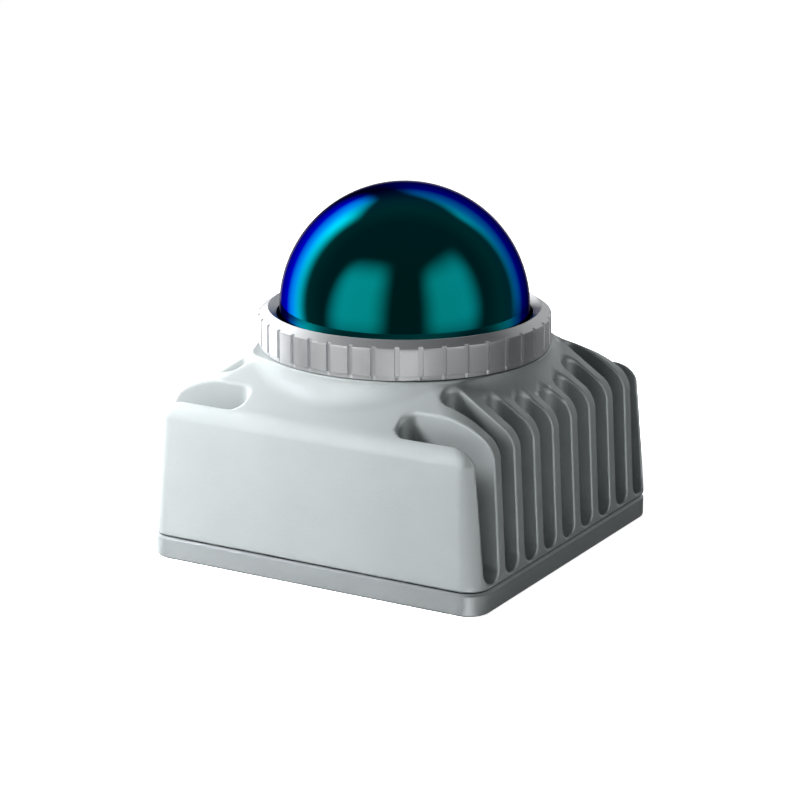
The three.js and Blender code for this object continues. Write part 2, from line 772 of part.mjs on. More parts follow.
baseScrewPlaces().forEach(([x, y], i) => {
  const mesh = piece(`base_screw_${i + 1}`, screw, FINISH.steel);
  mesh.position.set(x, y, 0);
  scanner.add(mesh);
});

export default scanner;
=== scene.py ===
"""Looks of a compact dome-window laser scanner, built round its CAD frame.

Sizes in the classes are millimetres and become metres when a mesh is made. +Z is up, the plain
front is -Y, the finned sides are +X and -X, and the plug connector is on the back, +Y.
"""

import json
import logging
import math
from collections.abc import Callable, Iterable, Sequence
from dataclasses import dataclass, field
from enum import Enum

import bpy
import numpy as np
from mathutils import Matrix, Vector


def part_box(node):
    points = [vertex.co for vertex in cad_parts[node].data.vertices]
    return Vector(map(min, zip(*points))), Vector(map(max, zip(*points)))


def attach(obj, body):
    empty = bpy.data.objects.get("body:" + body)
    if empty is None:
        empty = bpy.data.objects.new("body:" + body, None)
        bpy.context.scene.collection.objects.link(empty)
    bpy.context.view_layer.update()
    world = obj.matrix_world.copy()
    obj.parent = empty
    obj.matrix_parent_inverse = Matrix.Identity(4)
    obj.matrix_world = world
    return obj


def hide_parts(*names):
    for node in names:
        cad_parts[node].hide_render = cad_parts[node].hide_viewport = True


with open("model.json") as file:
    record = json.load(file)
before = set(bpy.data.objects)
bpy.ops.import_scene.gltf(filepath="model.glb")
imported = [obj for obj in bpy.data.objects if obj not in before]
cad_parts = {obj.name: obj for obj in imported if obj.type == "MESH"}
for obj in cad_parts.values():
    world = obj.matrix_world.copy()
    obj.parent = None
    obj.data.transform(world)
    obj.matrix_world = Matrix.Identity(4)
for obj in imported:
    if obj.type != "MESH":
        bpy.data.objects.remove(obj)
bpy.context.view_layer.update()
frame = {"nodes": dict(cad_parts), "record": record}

log = logging.getLogger("scanner")

MM = 0.001  # metres in a millimetre
SHARP = 30.0  # degrees by which an edge must turn to stay sharp
INNER_SHARP = 32.0  # the same for the pieces that keep their CAD shape
LARGE_FACE = 10.0  # square millimetres above which a face cut by tools is shaded flat
QUARTERS = ((1, 1), (-1, 1), (-1, -1), (1, -1))  # signs of x and y in the four corners

Array = np.ndarray
Field = Callable[[Array, Array, Array], Array]
Point = tuple[float, float]
Triple = tuple[float, float, float]
Colour = tuple[float, float, float]
Piece = bpy.types.Object
Socket = bpy.types.NodeSocket


# ---- Measures from the frame ---------------------------------------------------------------


@dataclass(frozen=True)
class NodeBox:
    """The box of a CAD node, in millimetres."""

    low: Vector
    high: Vector

    @classmethod
    def of(cls, node: str) -> "NodeBox":
        """Reads the box of one node.

        Args:
            node: The node's name in the frame.

        Returns:
            The box with its corners in millimetres.
        """
        low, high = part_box(node)
        return cls(low / MM, high / MM)

    @property
    def centre(self) -> Vector:
        """The middle of the box."""
        return (self.low + self.high) / 2

    @property
    def radius(self) -> float:
        """Half the larger level side, the radius of a round piece about Z."""
        return max(self.high.x - self.low.x, self.high.y - self.low.y) / 2


# ---- Meshes ---------------------------------------------------------------------------------


@dataclass
class MeshParts:
    """Vertices in millimetres and faces, collected before they become one object."""

    vertices: list[Array] = field(default_factory=list)
    faces: list[list[int]] = field(default_factory=list)
    count: int = 0

    def add(self, vertices: Array, faces: Iterable[Sequence[int]]) -> "MeshParts":
        """Adds a set of vertices and the faces that use them.

        Args:
            vertices: An array of points, one row each.
            faces: Loops of row numbers.

        Returns:
            These parts, so that calls can follow each other.
        """
        self.vertices.append(np.asarray(vertices, float))
        self.faces.extend([int(i) + self.count for i in face] for face in faces)
        self.count += len(vertices)
        return self

    def points(self) -> Array:
        """All vertices as one array."""
        return np.concatenate(self.vertices)


def make_object(name: str, parts: MeshParts, sharp_degrees: float = SHARP) -> Piece:
    """Makes a mesh object from parts, shaded smooth except at sharp edges.

    Args:
        name: The piece's name.
        parts: Its vertices and faces, in millimetres.
        sharp_degrees: Edges that turn by more than this stay sharp.

    Returns:
        The object, linked to the scene.
    """
    mesh = bpy.data.meshes.new(name)
    mesh.from_pydata((parts.points() * MM).tolist(), [], parts.faces)
    mesh.validate()
    mesh.shade_smooth()
    mesh.set_sharp_from_angle(angle=math.radians(sharp_degrees))
    piece = bpy.data.objects.new(name, mesh)
    bpy.context.scene.collection.objects.link(piece)
    return piece


def grid_faces(rows: int, columns: int, wrap: bool) -> list[tuple[int, int, int, int]]:
    """Quads over a grid of points stored row by row.

    Args:
        rows: Number of rows.
        columns: Points in a row.
        wrap: Whether each row closes on itself.

    Returns:
        The quads.
    """
    last = columns if wrap else columns - 1
    quads = []
    for row in range(rows - 1):
        for column in range(last):
            following = (column + 1) % columns
            low, high = row * columns, (row + 1) * columns
            quads.append((low + column, low + following, high + following, high + column))
    return quads


class Lathe:
    """A body of revolution about Z from a closed or open section of (radius, height) points."""

    def __init__(self, section: Sequence[Point], segments: int = 96) -> None:
        """Keeps the section, listed so that the outside is on the right of the way it runs.

        Args:
            section: Points of the section, in millimetres.
            segments: Number of steps round the axis.
        """
        self.section = section
        self.segments = segments

    def parts(self) -> MeshParts:
        """Turns the section round the axis, with poles where it meets the axis.

        Returns:
            The body's points and faces.
        """
        angles = np.linspace(0, 2 * math.pi, self.segments, endpoint=False)
        closed = self.section[0][0] > 0
        section = [*self.section, self.section[0]] if closed else list(self.section)
        points: list[Array] = []
        rows: list[list[int]] = []
        for radius, height in section[: len(self.section)]:
            start = sum(len(p) for p in points)
            if radius <= 0:
                points.append(np.array([[0.0, 0.0, height]]))
                rows.append([start] * self.segments)
            else:
                ring = np.stack([radius * np.cos(angles), radius * np.sin(angles)], 1)
                points.append(np.c_[ring, np.full(self.segments, height)])
                rows.append(list(range(start, start + self.segments)))
        if closed:
            rows.append(rows[0])
        faces = []
        for low, high in zip(rows, rows[1:]):
            for i in range(self.segments):
                j = (i + 1) % self.segments
                loop = list(dict.fromkeys((low[i], low[j], high[j], high[i])))
                if len(loop) > 2:
                    faces.append(loop)
        return MeshParts().add(np.concatenate(points), faces)


def arc(centre: Point, radius: float, start: float, end: float, steps: int) -> list[Point]:
    """Points on an arc in a section.

    Args:
        centre: The arc's centre, as radius and height.
        radius: Its radius.
        start: First angle, in degrees, where 0 points outwards and 90 up.
        end: Last angle.
        steps: Number of steps between them.

    Returns:
        The points as (radius, height) pairs.
    """
    angles = np.radians(np.linspace(start, end, steps + 1))
    return [(centre[0] + radius * math.cos(a), centre[1] + radius * math.sin(a)) for a in angles]


def worked(
    section: Sequence[Point],
    angles: Array,
    radii_at: Callable[[Array, float, float], Array],
) -> MeshParts:
    """A closed body of revolution about Z whose surface is cut by grooves, threads or keys.

    Args:
        section: Points of the closed section, anticlockwise.
        angles: The columns' angles, in radians.
        radii_at: Gives the radii of one row of points from the angles, radius and height.

    Returns:
        The body's points and faces.
    """
    rows = []
    for radius, height in section:
        radii = radii_at(angles, radius, height)
        level = np.full(len(angles), height)
        rows.append(np.stack([radii * np.cos(angles), radii * np.sin(angles), level], 1))
    closing = len(rows) * len(angles)
    faces = grid_faces(len(rows) + 1, len(angles), wrap=True)
    faces = [tuple(i - closing if i >= closing else i for i in face) for face in faces]
    return MeshParts().add(np.concatenate(rows), faces)


def fitted(piece: Piece, node: str, body: str = "enclosure") -> Piece:
    """Puts a finished mesh in the place of its CAD node.

    Args:
        piece: The mesh object.
        node: The CAD node that it stands for.
        body: The CAD body that it rides on.

    Returns:
        The same piece.
    """
    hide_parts(node)
    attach(piece, body)
    return piece


# ---- Implicit solids -------------------------------------------------------------------------


def smooth_union(a: Array, b: Array, radius: float) -> Array:
    """Joins two distance fields with a hollow fillet of about this radius."""
    inner = np.hypot(np.maximum(radius - a, 0), np.maximum(radius - b, 0))
    return np.maximum(radius, np.minimum(a, b)) - inner


def smooth_overlap(a: Array, b: Array, radius: float) -> Array:
    """Keeps what two distance fields share, with the edge rounded to about this radius."""
    outer = np.hypot(np.maximum(radius + a, 0), np.maximum(radius + b, 0))
    return np.minimum(-radius, np.maximum(a, b)) + outer


@dataclass(frozen=True)
class Lattice:
    """A box of cells, cut finely where a surface bends, that turns a distance field into a mesh."""

    xs: Array
    ys: Array
    zs: Array

    def mesh(self, shape: Field) -> MeshParts:
        """Meshes the surface where the field is zero.

        One vertex stands in each cell that the surface crosses, and is then moved onto it.

        Args:
            shape: The signed distance, negative inside.

        Returns:
            Quads whose vertices lie on the surface.
        """
        values = shape(self.xs[:, None, None], self.ys[None, :, None], self.zs[None, None, :])
        inside = values < 0
        sums, hits = self._crossings(values, inside)
        mixed = hits > 0
        number = np.full(mixed.shape, -1, int)
        number[mixed] = np.arange(mixed.sum())
        points = sums[mixed] / hits[mixed][:, None]
        quads = self._quads(inside, number)
        return MeshParts().add(self._settle(points, shape), quads)

    def _crossings(self, values: Array, inside: Array) -> tuple[Array, Array]:
        """Adds up, for each cell, the points where its edges cross the surface.

        Args:
            values: The field at the lattice's corners.
            inside: Which corners are inside.

        Returns:
            The sum of the crossing points of each cell, and their number.
        """
        lines = (self.xs, self.ys, self.zs)
        cells = tuple(n - 1 for n in values.shape)
        sums = np.zeros((*cells, 3))
        hits = np.zeros(cells, int)
        for axis in range(3):
            lower = [slice(None)] * 3
            upper = [slice(None)] * 3
            lower[axis], upper[axis] = slice(None, -1), slice(1, None)
            a, b = values[tuple(lower)], values[tuple(upper)]
            crossed = inside[tuple(lower)] != inside[tuple(upper)]
            share = np.where(crossed, a / np.where(crossed, a - b, 1), 0)
            place = []
            for other in range(3):
                shape = [1, 1, 1]
                line = lines[other]
                if other == axis:
                    shape[other] = len(line) - 1
                    start, step = line[:-1].reshape(shape), np.diff(line).reshape(shape)
                    place.append(start + share * step)
                else:
                    shape[other] = len(line)
                    place.append(np.broadcast_to(line.reshape(shape), share.shape))
            point = np.stack(place, -1) * crossed[..., None]
            first, second = [other for other in range(3) if other != axis]
            for i in (slice(None, -1), slice(1, None)):
                for j in (slice(None, -1), slice(1, None)):
                    pick = [slice(None)] * 3
                    pick[first], pick[second] = i, j
                    sums += point[tuple(pick)]
                    hits += crossed[tuple(pick)]
        return sums, hits

    @staticmethod
    def _quads(inside: Array, number: Array) -> Array:
        """One quad across each lattice edge that crosses the surface, facing outwards.

        Args:
            inside: Which corners are inside.
            number: Each cell's vertex number.

        Returns:
            The quads, one row each.
        """
        quads = []
        for axis in range(3):
            turned = np.moveaxis(inside, [axis, (axis + 1) % 3, (axis + 2) % 3], [0, 1, 2])
            cells = np.moveaxis(number, [axis, (axis + 1) % 3, (axis + 2) % 3], [0, 1, 2])
            low, high = turned[:-1, 1:-1, 1:-1], turned[1:, 1:-1, 1:-1]
            corners = (
                cells[:, :-1, :-1],
                cells[:, 1:, :-1],
                cells[:, 1:, 1:],
                cells[:, :-1, 1:],
            )
            leaving, entering = low & ~high, high & ~low
            quads.append(np.stack([c[leaving] for c in corners], 1))
            quads.append(np.stack([c[entering] for c in reversed(corners)], 1))
        return np.concatenate(quads)

    @staticmethod
    def _settle(points: Array, shape: Field, rounds: int = 4, probe: float = 0.01) -> Array:
        """Moves points along the field's slope until they lie on the surface.

        Args:
            points: The points, one row each.
            shape: The signed distance.
            rounds: Number of moves.
            probe: Distance over which the slope is felt.

        Returns:
            The moved points.
        """
        flattest, longest = 0.2, 0.4
        for _ in range(rounds):
            value = shape(*points.T)
            slope = field_slope(points, shape, probe)
            step = value / np.maximum((slope**2).sum(1), flattest)
            points = points - np.clip(step, -longest, longest)[:, None] * slope
        return points


def field_slope(points: Array, shape: Field, probe: float = 0.01) -> Array:
    """The gradient of a field at points, by central differences.

    Args:
        points: The points, one row each.
        shape: The field.
        probe: Distance to the places on either side that are compared.

    Returns:
        The gradient at each point.
    """
    columns = []
    for axis in range(3):
        step = np.zeros(3)
        step[axis] = probe
        columns.append((shape(*(points + step).T) - shape(*(points - step).T)) / (2 * probe))
    return np.stack(columns, 1)


def graded(*stretches: tuple[float, float, float]) -> Array:
    """Lattice lines with a different spacing in each stretch.

    Args:
        stretches: (start, end, spacing) for each stretch, one after another.

    Returns:
        The sorted positions, with none closer than a hundredth of a millimetre.
    """
    lines = [np.linspace(a, b, max(2, round((b - a) / step) + 1)) for a, b, step in stretches]
    return np.unique(np.concatenate(lines).round(2))


def mirrored(positive: Array) -> Array:
    """Lattice lines on both sides of the middle, from those on the positive side."""
    return np.unique(np.concatenate([-positive, [0.0], positive]))


# ---- Housing ---------------------------------------------------------------------------------


@dataclass(frozen=True)
class Housing:
    """The die-cast finned housing, its neck and its cavity."""

    corner: float = 4.0
    draft: float = 0.055
    draft_from: float = 5.0
    slope: float = 0.66
    slope_half: float = 31.2
    slope_height: float = 27.2
    shoulder_round: float = 1.9
    foot_round: float = 0.35
    neck_radius: float = 25.3
    neck_from: float = 20.0
    neck_fillet: float = 2.6
    neck_edge_round: float = 0.2
    neck_clearance: float = 0.15
    slot_pitch: float = 6.886
    slot_half: float = 2.3
    slot_low: float = 4.75
    slot_ramp: float = 0.16
    slot_ends: tuple[float, ...] = (26.6, 25.6, 23.8, 19.6, 15.0)
    slot_edge_round: float = 0.32
    slot_end_round: float = 0.75
    cavity_radius: float = 24.0
    ledge_low: float = 29.5
    ledge_top: float = 31.6
    ledge_bore: float = 20.8
    neck_bore: float = 24.2
    plug_seat: float = 31.6
    plug_height: float = 13.5
    plug_face_radius: float = 8.7
    plug_face_round: float = 0.9
    plug_hole_radius: float = 6.3
    plug_hole_from: float = 10.0

    @property
    def half(self) -> float:
        """Half the width of the square foot."""
        return NodeBox.of("housing").high.x

    @property
    def low(self) -> float:
        """Height of the bottom rim."""
        return NodeBox.of("housing").low.z

    @property
    def top(self) -> float:
        """Height of the neck's top face, just under the ring."""
        return NodeBox.of("housing").high.z + self.neck_clearance

    def level_half(self, x: Array, y: Array) -> Array:
        """Half width of the round-cornered square that passes through a point.

        Args:
            x: Places along X.
            y: Places along Y.

        Returns:
            Half its width.
        """
        ax, ay = np.abs(x), np.abs(y)
        wide, narrow = np.maximum(ax, ay), np.minimum(ax, ay)
        gap = wide - narrow
        root = np.sqrt(np.maximum(2 * self.corner**2 - gap**2, 0))
        cornered = (ax + ay - root) / 2 + self.corner
        return np.where(gap < self.corner, cornered, wide)

    def shell(self, x: Array, y: Array, z: Array) -> Array:
        """The outer form without slots: leaning walls, hipped top and round neck.

        Args:
            x: Places along X.
            y: Places along Y.
            z: Heights.

        Returns:
            The signed distance, negative inside.
        """
        half = self.level_half(x, y)
        wall = self.half - self.draft * np.maximum(z - self.draft_from, 0)
        side = half - wall
        steep = 1 / math.hypot(1, self.slope)
        hip = (z - self.slope_height - self.slope * (self.slope_half - half)) * steep
        body = smooth_overlap(side, hip, self.shoulder_round)
        neck = np.hypot(x, y) - self.neck_radius
        form = smooth_union(body, np.maximum(neck, self.neck_from - z), self.neck_fillet)
        form = smooth_overlap(form, z - self.top, self.neck_edge_round)
        return smooth_overlap(form, self.low - z, self.foot_round)

    def slots(self, x: Array, y: Array, z: Array) -> Array:
        """All cooling slots, with ball ends.

        Args:
            x: Places along X.
            y: Places along Y.
            z: Heights.

        Returns:
            The signed distance, negative inside.
        """
        most = len(self.slot_ends) - 1
        index = np.clip(np.round(np.abs(y) / self.slot_pitch), 0, most).astype(int)
        across = np.abs(np.abs(y) - index * self.slot_pitch)
        end = np.asarray(self.slot_ends)[index] + self.slot_half
        inward = np.maximum(end - np.abs(x), 0)
        low = self.slot_low + self.slot_half + self.slot_ramp * (self.half - np.abs(x))
        below = np.maximum(low - z, 0)
        return np.sqrt(across**2 + below**2 + inward**2) - self.slot_half

    def hollow(self, x: Array, y: Array, z: Array) -> Array:
        """The cavity, the ledge's bore, the neck's bore and the connector's hole.

        Args:
            x: Places along X.
            y: Places along Y.
            z: Heights.

        Returns:
            The signed distance, negative inside.
        """
        out = np.hypot(x, y)
        room = np.maximum(out - self.cavity_radius, z - self.ledge_low)
        bore = out - self.ledge_bore
        neck = np.maximum(out - self.neck_bore, self.ledge_top - z)
        around_plug = np.hypot(x, z - self.plug_height)
        hole = np.maximum(around_plug - self.plug_hole_radius, self.plug_hole_from - y)
        return np.minimum.reduce(np.broadcast_arrays(room, bore, neck, hole))

    def plug_face(self, x: Array, y: Array, z: Array) -> Array:
        """The flat seat that is milled into the leaning back wall for the connector."""
        around_plug = np.hypot(x, z - self.plug_height)
        return np.maximum(around_plug - self.plug_face_radius, self.plug_seat - y)

    def edge_round(self, x: Array, y: Array) -> Array:
        """Rounding of the slots' edges, softer round their inner ends.

        Args:
            x: Places along X.
            y: Places along Y.

        Returns:
            The rounding at each place.
        """
        index = np.clip(np.round(np.abs(y) / self.slot_pitch), 0, len(self.slot_ends) - 1)
        past_end = np.asarray(self.slot_ends)[index.astype(int)] + self.slot_half - np.abs(x)
        share = np.clip(past_end / self.slot_half, 0, 1)
        return self.slot_edge_round + (self.slot_end_round - self.slot_edge_round) * share

    def form(self, x: Array, y: Array, z: Array) -> Array:
        """The finished housing.

        Args:
            x: Places along X.
            y: Places along Y.
            z: Heights.

        Returns:
            The signed distance, negative inside.
        """
        shell, slots = self.shell(x, y, z), self.slots(x, y, z)
        slotted = smooth_overlap(shell, -slots, self.edge_round(x, y))
        seated = smooth_overlap(slotted, -self.plug_face(x, y, z), self.plug_face_round)
        return np.maximum(seated, -self.hollow(x, y, z))

    def lattice(self) -> Lattice:
        """Lattice lines that are close together at the slots' edges and the roundings.

        Returns:
            The lattice.
        """
        inward = (0.08, 0.3, 0.62)
        outward = (0.3, 0.85, 1.55)
        lines = [0.0]
        for index in range(len(self.slot_ends)):
            centre = index * self.slot_pitch
            for side in (-1, 1):
                edge = centre + side * self.slot_half
                lines += [edge + side * step for step in inward]
                lines += [edge - side * step for step in outward]
            lines += [centre, centre + self.slot_pitch / 2]
        fins_end = 30.4
        wall = (30.9, 31.3, 31.6, 31.9, 32.2, 32.45, 32.8)
        lines = [y for y in lines if 0 < y < fins_end]
        ys = np.unique(np.round([*lines, *wall], 2))
        xs = graded((0.9, 14.0, 1.1), (14.0, 30.6, 0.55), (30.6, 32.8, 0.26))
        zs = graded(
            (self.low - 0.3, self.low + 0.9, 0.2),
            (self.low + 0.9, 7.6, 0.3),
            (7.6, 21.6, 1.0),
            (21.6, self.top + 0.3, 0.34),
        )
        return Lattice(mirrored(xs), mirrored(ys), zs)

    def build(self) -> Piece:
        """Makes the housing piece.

        Returns:
            The piece.
        """
        parts = self.lattice().mesh(self.form)
        piece = make_object("housing_shell", parts, sharp_degrees=50)
        smooth_normals(piece, self.form)
        return fitted(piece, "housing")


def smooth_normals(piece: Piece, shape: Field) -> None:
    """Gives a piece the exact normals of the field that it was meshed from.

    Args:
        piece: The mesh object, in metres.
        shape: Its field, in millimetres.
    """
    mesh = piece.data
    points = np.zeros(len(mesh.vertices) * 3)
    mesh.vertices.foreach_get("co", points)
    slope = field_slope(points.reshape(-1, 3) / MM, shape, probe=0.03)
    length = np.linalg.norm(slope, axis=1, keepdims=True)
    mesh.normals_split_custom_set_from_vertices((slope / np.maximum(length, 1e-9)).tolist())


# ---- Base plate ------------------------------------------------------------------------------


def rounded_square(half: float, corner: float, per_corner: int = 14) -> Array:
    """The outline of a square with rounded corners, as (x, y) points.

    Args:
        half: Half the square's side.
        corner: Radius of its corners.
        per_corner: Steps round each corner.

    Returns:
        The points, anticlockwise.
    """
    points = []
    for quarter, (sx, sy) in enumerate(QUARTERS):
        for step in range(per_corner + 1):
            angle = math.pi / 2 * (quarter + step / per_corner)
            x = sx * (half - corner) + corner * math.cos(angle)
            y = sy * (half - corner) + corner * math.sin(angle)
            points.append((x, y))
    return np.array(points)


def shape_with(piece: Piece, raised: Sequence[Piece], cutters: Sequence[Piece]) -> None:
    """Joins raised solids to a piece, cuts tools out of it, and removes both.

    Args:
        piece: The mesh object that is shaped.
        raised: Closed mesh objects that are joined to it.
        cutters: Closed mesh objects that are cut out of it afterwards.
    """
    steps = [*((tool, "UNION") for tool in raised), *((tool, "DIFFERENCE") for tool in cutters)]
    for tool, operation in steps:
        change = piece.modifiers.new("shaping", "BOOLEAN")
        change.operation = operation
        change.solver = "EXACT"
        change.object = tool
    depsgraph = bpy.context.evaluated_depsgraph_get()
    mesh = bpy.data.meshes.new_from_object(piece.evaluated_get(depsgraph))
    piece.modifiers.clear()
    piece.data = mesh
    for tool, _ in steps:
        bpy.data.objects.remove(tool)
    mesh.shade_smooth()
    mesh.set_sharp_from_angle(angle=math.radians(SHARP))
    for face in mesh.polygons:
        face.use_smooth = face.area < LARGE_FACE * MM * MM


def moved(parts: MeshParts, x: float = 0, y: float = 0, z: float = 0) -> MeshParts:
    """The same parts at another place."""
    return MeshParts([p + np.array([x, y, z]) for p in parts.vertices], parts.faces, parts.count)


def laid_back(parts: MeshParts, height: float) -> MeshParts:
    """The same parts with their Z axis laid along +Y, standing at a height."""
    turned = [np.stack([p[:, 0], p[:, 2], height - p[:, 1]], 1) for p in parts.vertices]
    return MeshParts(turned, parts.faces, parts.count)


@dataclass(frozen=True)
class BasePlate:
    """The plate that closes the housing from below."""

    top: float = 3.9
    corner: float = 4.0
    foot_round: float = 0.5
    chamfer: float = 0.42
    boss_radius: float = 23.2
    boss_chamfer: float = 0.3
    screw_x: float = 11.5
    screw_y: float = 26.5
    counterbore: float = 2.6
    counterbore_depth: float = 1.8
    counterbore_chamfer: float = 0.2
    mount_at: float = 26.0
    mount_radius: float = 1.5
    mount_depth: float = 3.0
    mount_chamfer: float = 0.3
    mount_pitch: float = 0.5
    mount_thread: float = 0.22

    def side(self) -> list[Point]:
        """The edge's section as (inset, height) points, from below to above.

        Returns:
            The points.
        """
        rounding = arc((0, self.foot_round), self.foot_round, -90, 0, 5)
        lower = [(self.foot_round - x, z) for x, z in rounding]
        return [*lower, (0.0, self.top - self.chamfer), (self.chamfer, self.top)]

    def plate(self) -> MeshParts:
        """The closed plate, with flat faces above and below.

        Returns:
            The plate's points and faces.
        """
        half = NodeBox.of("base_plate").high.x
        rows = []
        for inset, height in self.side():
            outline = rounded_square(half - inset, self.corner - inset)
            rows.append(np.c_[outline, np.full(len(outline), height)])
        columns = len(rows[0])
        faces = grid_faces(len(rows), columns, wrap=True)
        last = (len(rows) - 1) * columns
        faces.append(tuple(reversed(range(columns))))
        faces.append(tuple(range(last, last + columns)))
        return MeshParts().add(np.concatenate(rows), faces)

    def cutters(self) -> list[Piece]:
        """Tools for the four screws' counterbores and the four threaded mounting holes.

        Returns:
            The tools.
        """
        below = -1.0
        bore, deep = self.counterbore, self.counterbore_depth
        mouth = bore + self.counterbore_chamfer
        counterbore = [(0, below), (mouth, below), (mouth, 0), (bore, self.counterbore_chamfer)]
        counterbore += [(bore, deep), (0, deep)]
        crest, mouth = self.mount_radius, self.mount_radius + self.mount_chamfer
        thread = [(0, below), (mouth, below), (mouth, 0)]
        for turn in range(int(self.mount_depth / self.mount_pitch)):
            low = self.mount_chamfer + turn * self.mount_pitch
            thread += [(crest, low), (crest - self.mount_thread, low + self.mount_pitch / 2)]
        thread.append((0, self.mount_depth))
        tools = []
        for sx, sy in QUARTERS:
            screw = moved(Lathe(counterbore, 48).parts(), sx * self.screw_x, sy * self.screw_y)
            hole = moved(Lathe(thread, 32).parts(), sx * self.mount_at, sy * self.mount_at)
            tools += [make_object("tool", screw), make_object("tool", hole)]
        return tools

    def build(self) -> Piece:
        """Makes the base plate piece.

        Returns:
            The piece.
        """
        top, root = NodeBox.of("base_plate").high.z, self.top - 1
        radius, chamfer = self.boss_radius, self.boss_chamfer
        boss = [(0, root), (radius, root), (radius, top - chamfer), (radius - chamfer, top), (0, top)]
        piece = make_object("base_plate_casting", self.plate())
        shape_with(piece, [make_object("tool", Lathe(boss, 96).parts())], self.cutters())
        return fitted(piece, "base_plate")


# ---- Ring and dome ---------------------------------------------------------------------------


@dataclass(frozen=True)
class WindowRing:
    """The clamping ring, with upright spanner grooves round its wall."""

    grooves: int = 40
    groove_half: float = 0.425
    groove_depth: float = 0.42
    groove_foot: float = 35.42
    groove_lead: float = 0.02
    groove_wall: float = 0.07
    wall_top: float = 40.46
    rim: float = 23.72
    bore: float = 22.2
    spigot: float = 23.8
    low: float = 34.9
    skirt_inset: float = 0.3
    skirt_top: float = 35.6
    crest_round: float = 0.22
    crest_drop: float = 0.18
    lip_inset: float = 0.1
    lip_round: float = 0.14
    bore_chamfer: float = 0.28
    bore_chamfer_top: float = 0.82
    bore_top: float = 1.0

    def section(self) -> list[Point]:
        """The ring's section, anticlockwise from the foot of its bore.

        Returns:
            The points.
        """
        box = NodeBox.of("window_ring")
        radius, top = box.radius, box.high.z
        skirt = radius - self.skirt_inset
        foot = self.groove_foot
        close_rows = np.linspace(foot + 0.32, foot + 0.9, 7)
        open_rows = np.linspace(foot + 1.5, self.wall_top - 0.6, 6)
        wall = [(radius, z) for z in (*close_rows, *open_rows)]
        turn, lip = self.crest_round, self.lip_round
        crest = arc((radius - turn, self.wall_top - self.crest_drop), turn, 0, 60, 4)
        band = [
            (radius - turn / 2 + (self.rim - radius) * t, self.wall_top + (top - self.wall_top) * t)
            for t in np.linspace(0.06, 0.97, 9)
        ]
        return [
            (self.bore, box.low.z),
            (self.spigot, box.low.z),
            (self.spigot, self.low),
            (skirt, self.low),
            (skirt, self.skirt_top),
            (radius - 0.06, self.skirt_top + 0.06),
            *wall,
            *crest,
            *band,
            *arc((self.rim - self.lip_inset, top - lip), lip, 80, 150, 4),
            (self.bore + self.bore_chamfer, top - self.bore_chamfer_top),
            (self.bore, top - self.bore_top),
        ]

    def columns(self) -> Array:
        """Angles of the columns of points, close together across each groove.

        Returns:
            The angles, in radians.
        """
        half = math.degrees(self.groove_half / NodeBox.of("window_ring").radius)
        shares = (0, 0.45, 0.72, 0.86, 0.96, 1.05, 1.2, 1.6, 2.4, 3.4)
        across = [half * share for share in shares]
        offsets = np.array([-a for a in reversed(across[1:])] + across)
        pitch = 360 / self.grooves
        middle = np.array([pitch / 2])
        return np.radians(
            np.concatenate([i * pitch + np.r_[offsets, middle] for i in range(self.grooves)])
        )

    def sunk(self, angle: Array, radius: float, height: float) -> Array:
        """Radii of one row of points after the grooves are cut.

        Args:
            angle: The columns' angles, in radians.
            radius: The row's radius before the grooves.
            height: The row's height.

        Returns:
            The radius at each column.
        """
        outer = NodeBox.of("window_ring").radius
        bottom = outer - self.groove_depth
        if radius < bottom - 0.9 or height < self.groove_foot - 0.1:
            return np.full(len(angle), radius)
        pitch = 2 * math.pi / self.grooves
        across = ((angle + pitch / 2) % pitch - pitch / 2) * outer
        below = max(self.groove_foot + self.groove_half - height, 0)
        inside = self.groove_half - np.hypot(across, below)
        share = np.clip((inside + self.groove_lead) / self.groove_wall, 0, 1)
        floor = outer - self.groove_depth * share * share * (3 - 2 * share)
        return np.minimum(radius, floor)

    def build(self) -> Piece:
        """Makes the ring piece."""
        piece = make_object("clamping_ring", worked(self.section(), self.columns(), self.sunk), 28)
        return fitted(piece, "window_ring")


@dataclass(frozen=True)
class DomeWindow:
    """The coated half sphere with its skirt and flange."""

    radius: float = 21.66
    wall: float = 1.4
    flange_top: float = 33.9
    foot_fillet: float = 0.3
    last_ring: float = 89.4
    segments: int = 192

    def build(self) -> Piece:
        """Makes the dome piece.

        Returns:
            The piece.
        """
        box = NodeBox.of("dome_window")
        centre = (0, box.high.z - self.radius)
        inner = self.radius - self.wall
        section = [
            (inner, box.low.z),
            (box.radius, box.low.z),
            (box.radius, self.flange_top),
            (self.radius + self.foot_fillet, self.flange_top),
            (self.radius, self.flange_top + self.foot_fillet),
            *arc(centre, self.radius, 0, self.last_ring, 60),
            (0, box.high.z),
        ]
        inside = [(0, box.high.z - self.wall)]
        inside += [*arc(centre, inner, self.last_ring, 0, 40), (inner, box.low.z)]
        shell = Lathe(section, self.segments).parts()
        lining = Lathe(inside, self.segments).parts()
        piece = make_object("dome_shell", self.stitched(shell, lining), sharp_degrees=40)
        return fitted(piece, "dome_window")

    @staticmethod
    def stitched(outer: MeshParts, inner: MeshParts) -> MeshParts:
        """Joins the outer and the inner skin at the rim that they share.

        Args:
            outer: The outer skin.
            inner: The inner skin.

        Returns:
            Both as one closed body.
        """
        parts = MeshParts()
        parts.add(outer.points(), outer.faces)
        parts.add(inner.points(), inner.faces)
        points = parts.points()
        keys: dict[tuple[float, ...], int] = {}
        merged = [keys.setdefault(tuple(p.round(5)), i) for i, p in enumerate(points)]
        faces = [[merged[i] for i in face] for face in parts.faces]
        used = sorted({i for face in faces for i in face})
        renumber = {old: new for new, old in enumerate(used)}
        return MeshParts().add(points[used], [[renumber[i] for i in face] for face in faces])


# ---- Plug connector and screws ---------------------------------------------------------------


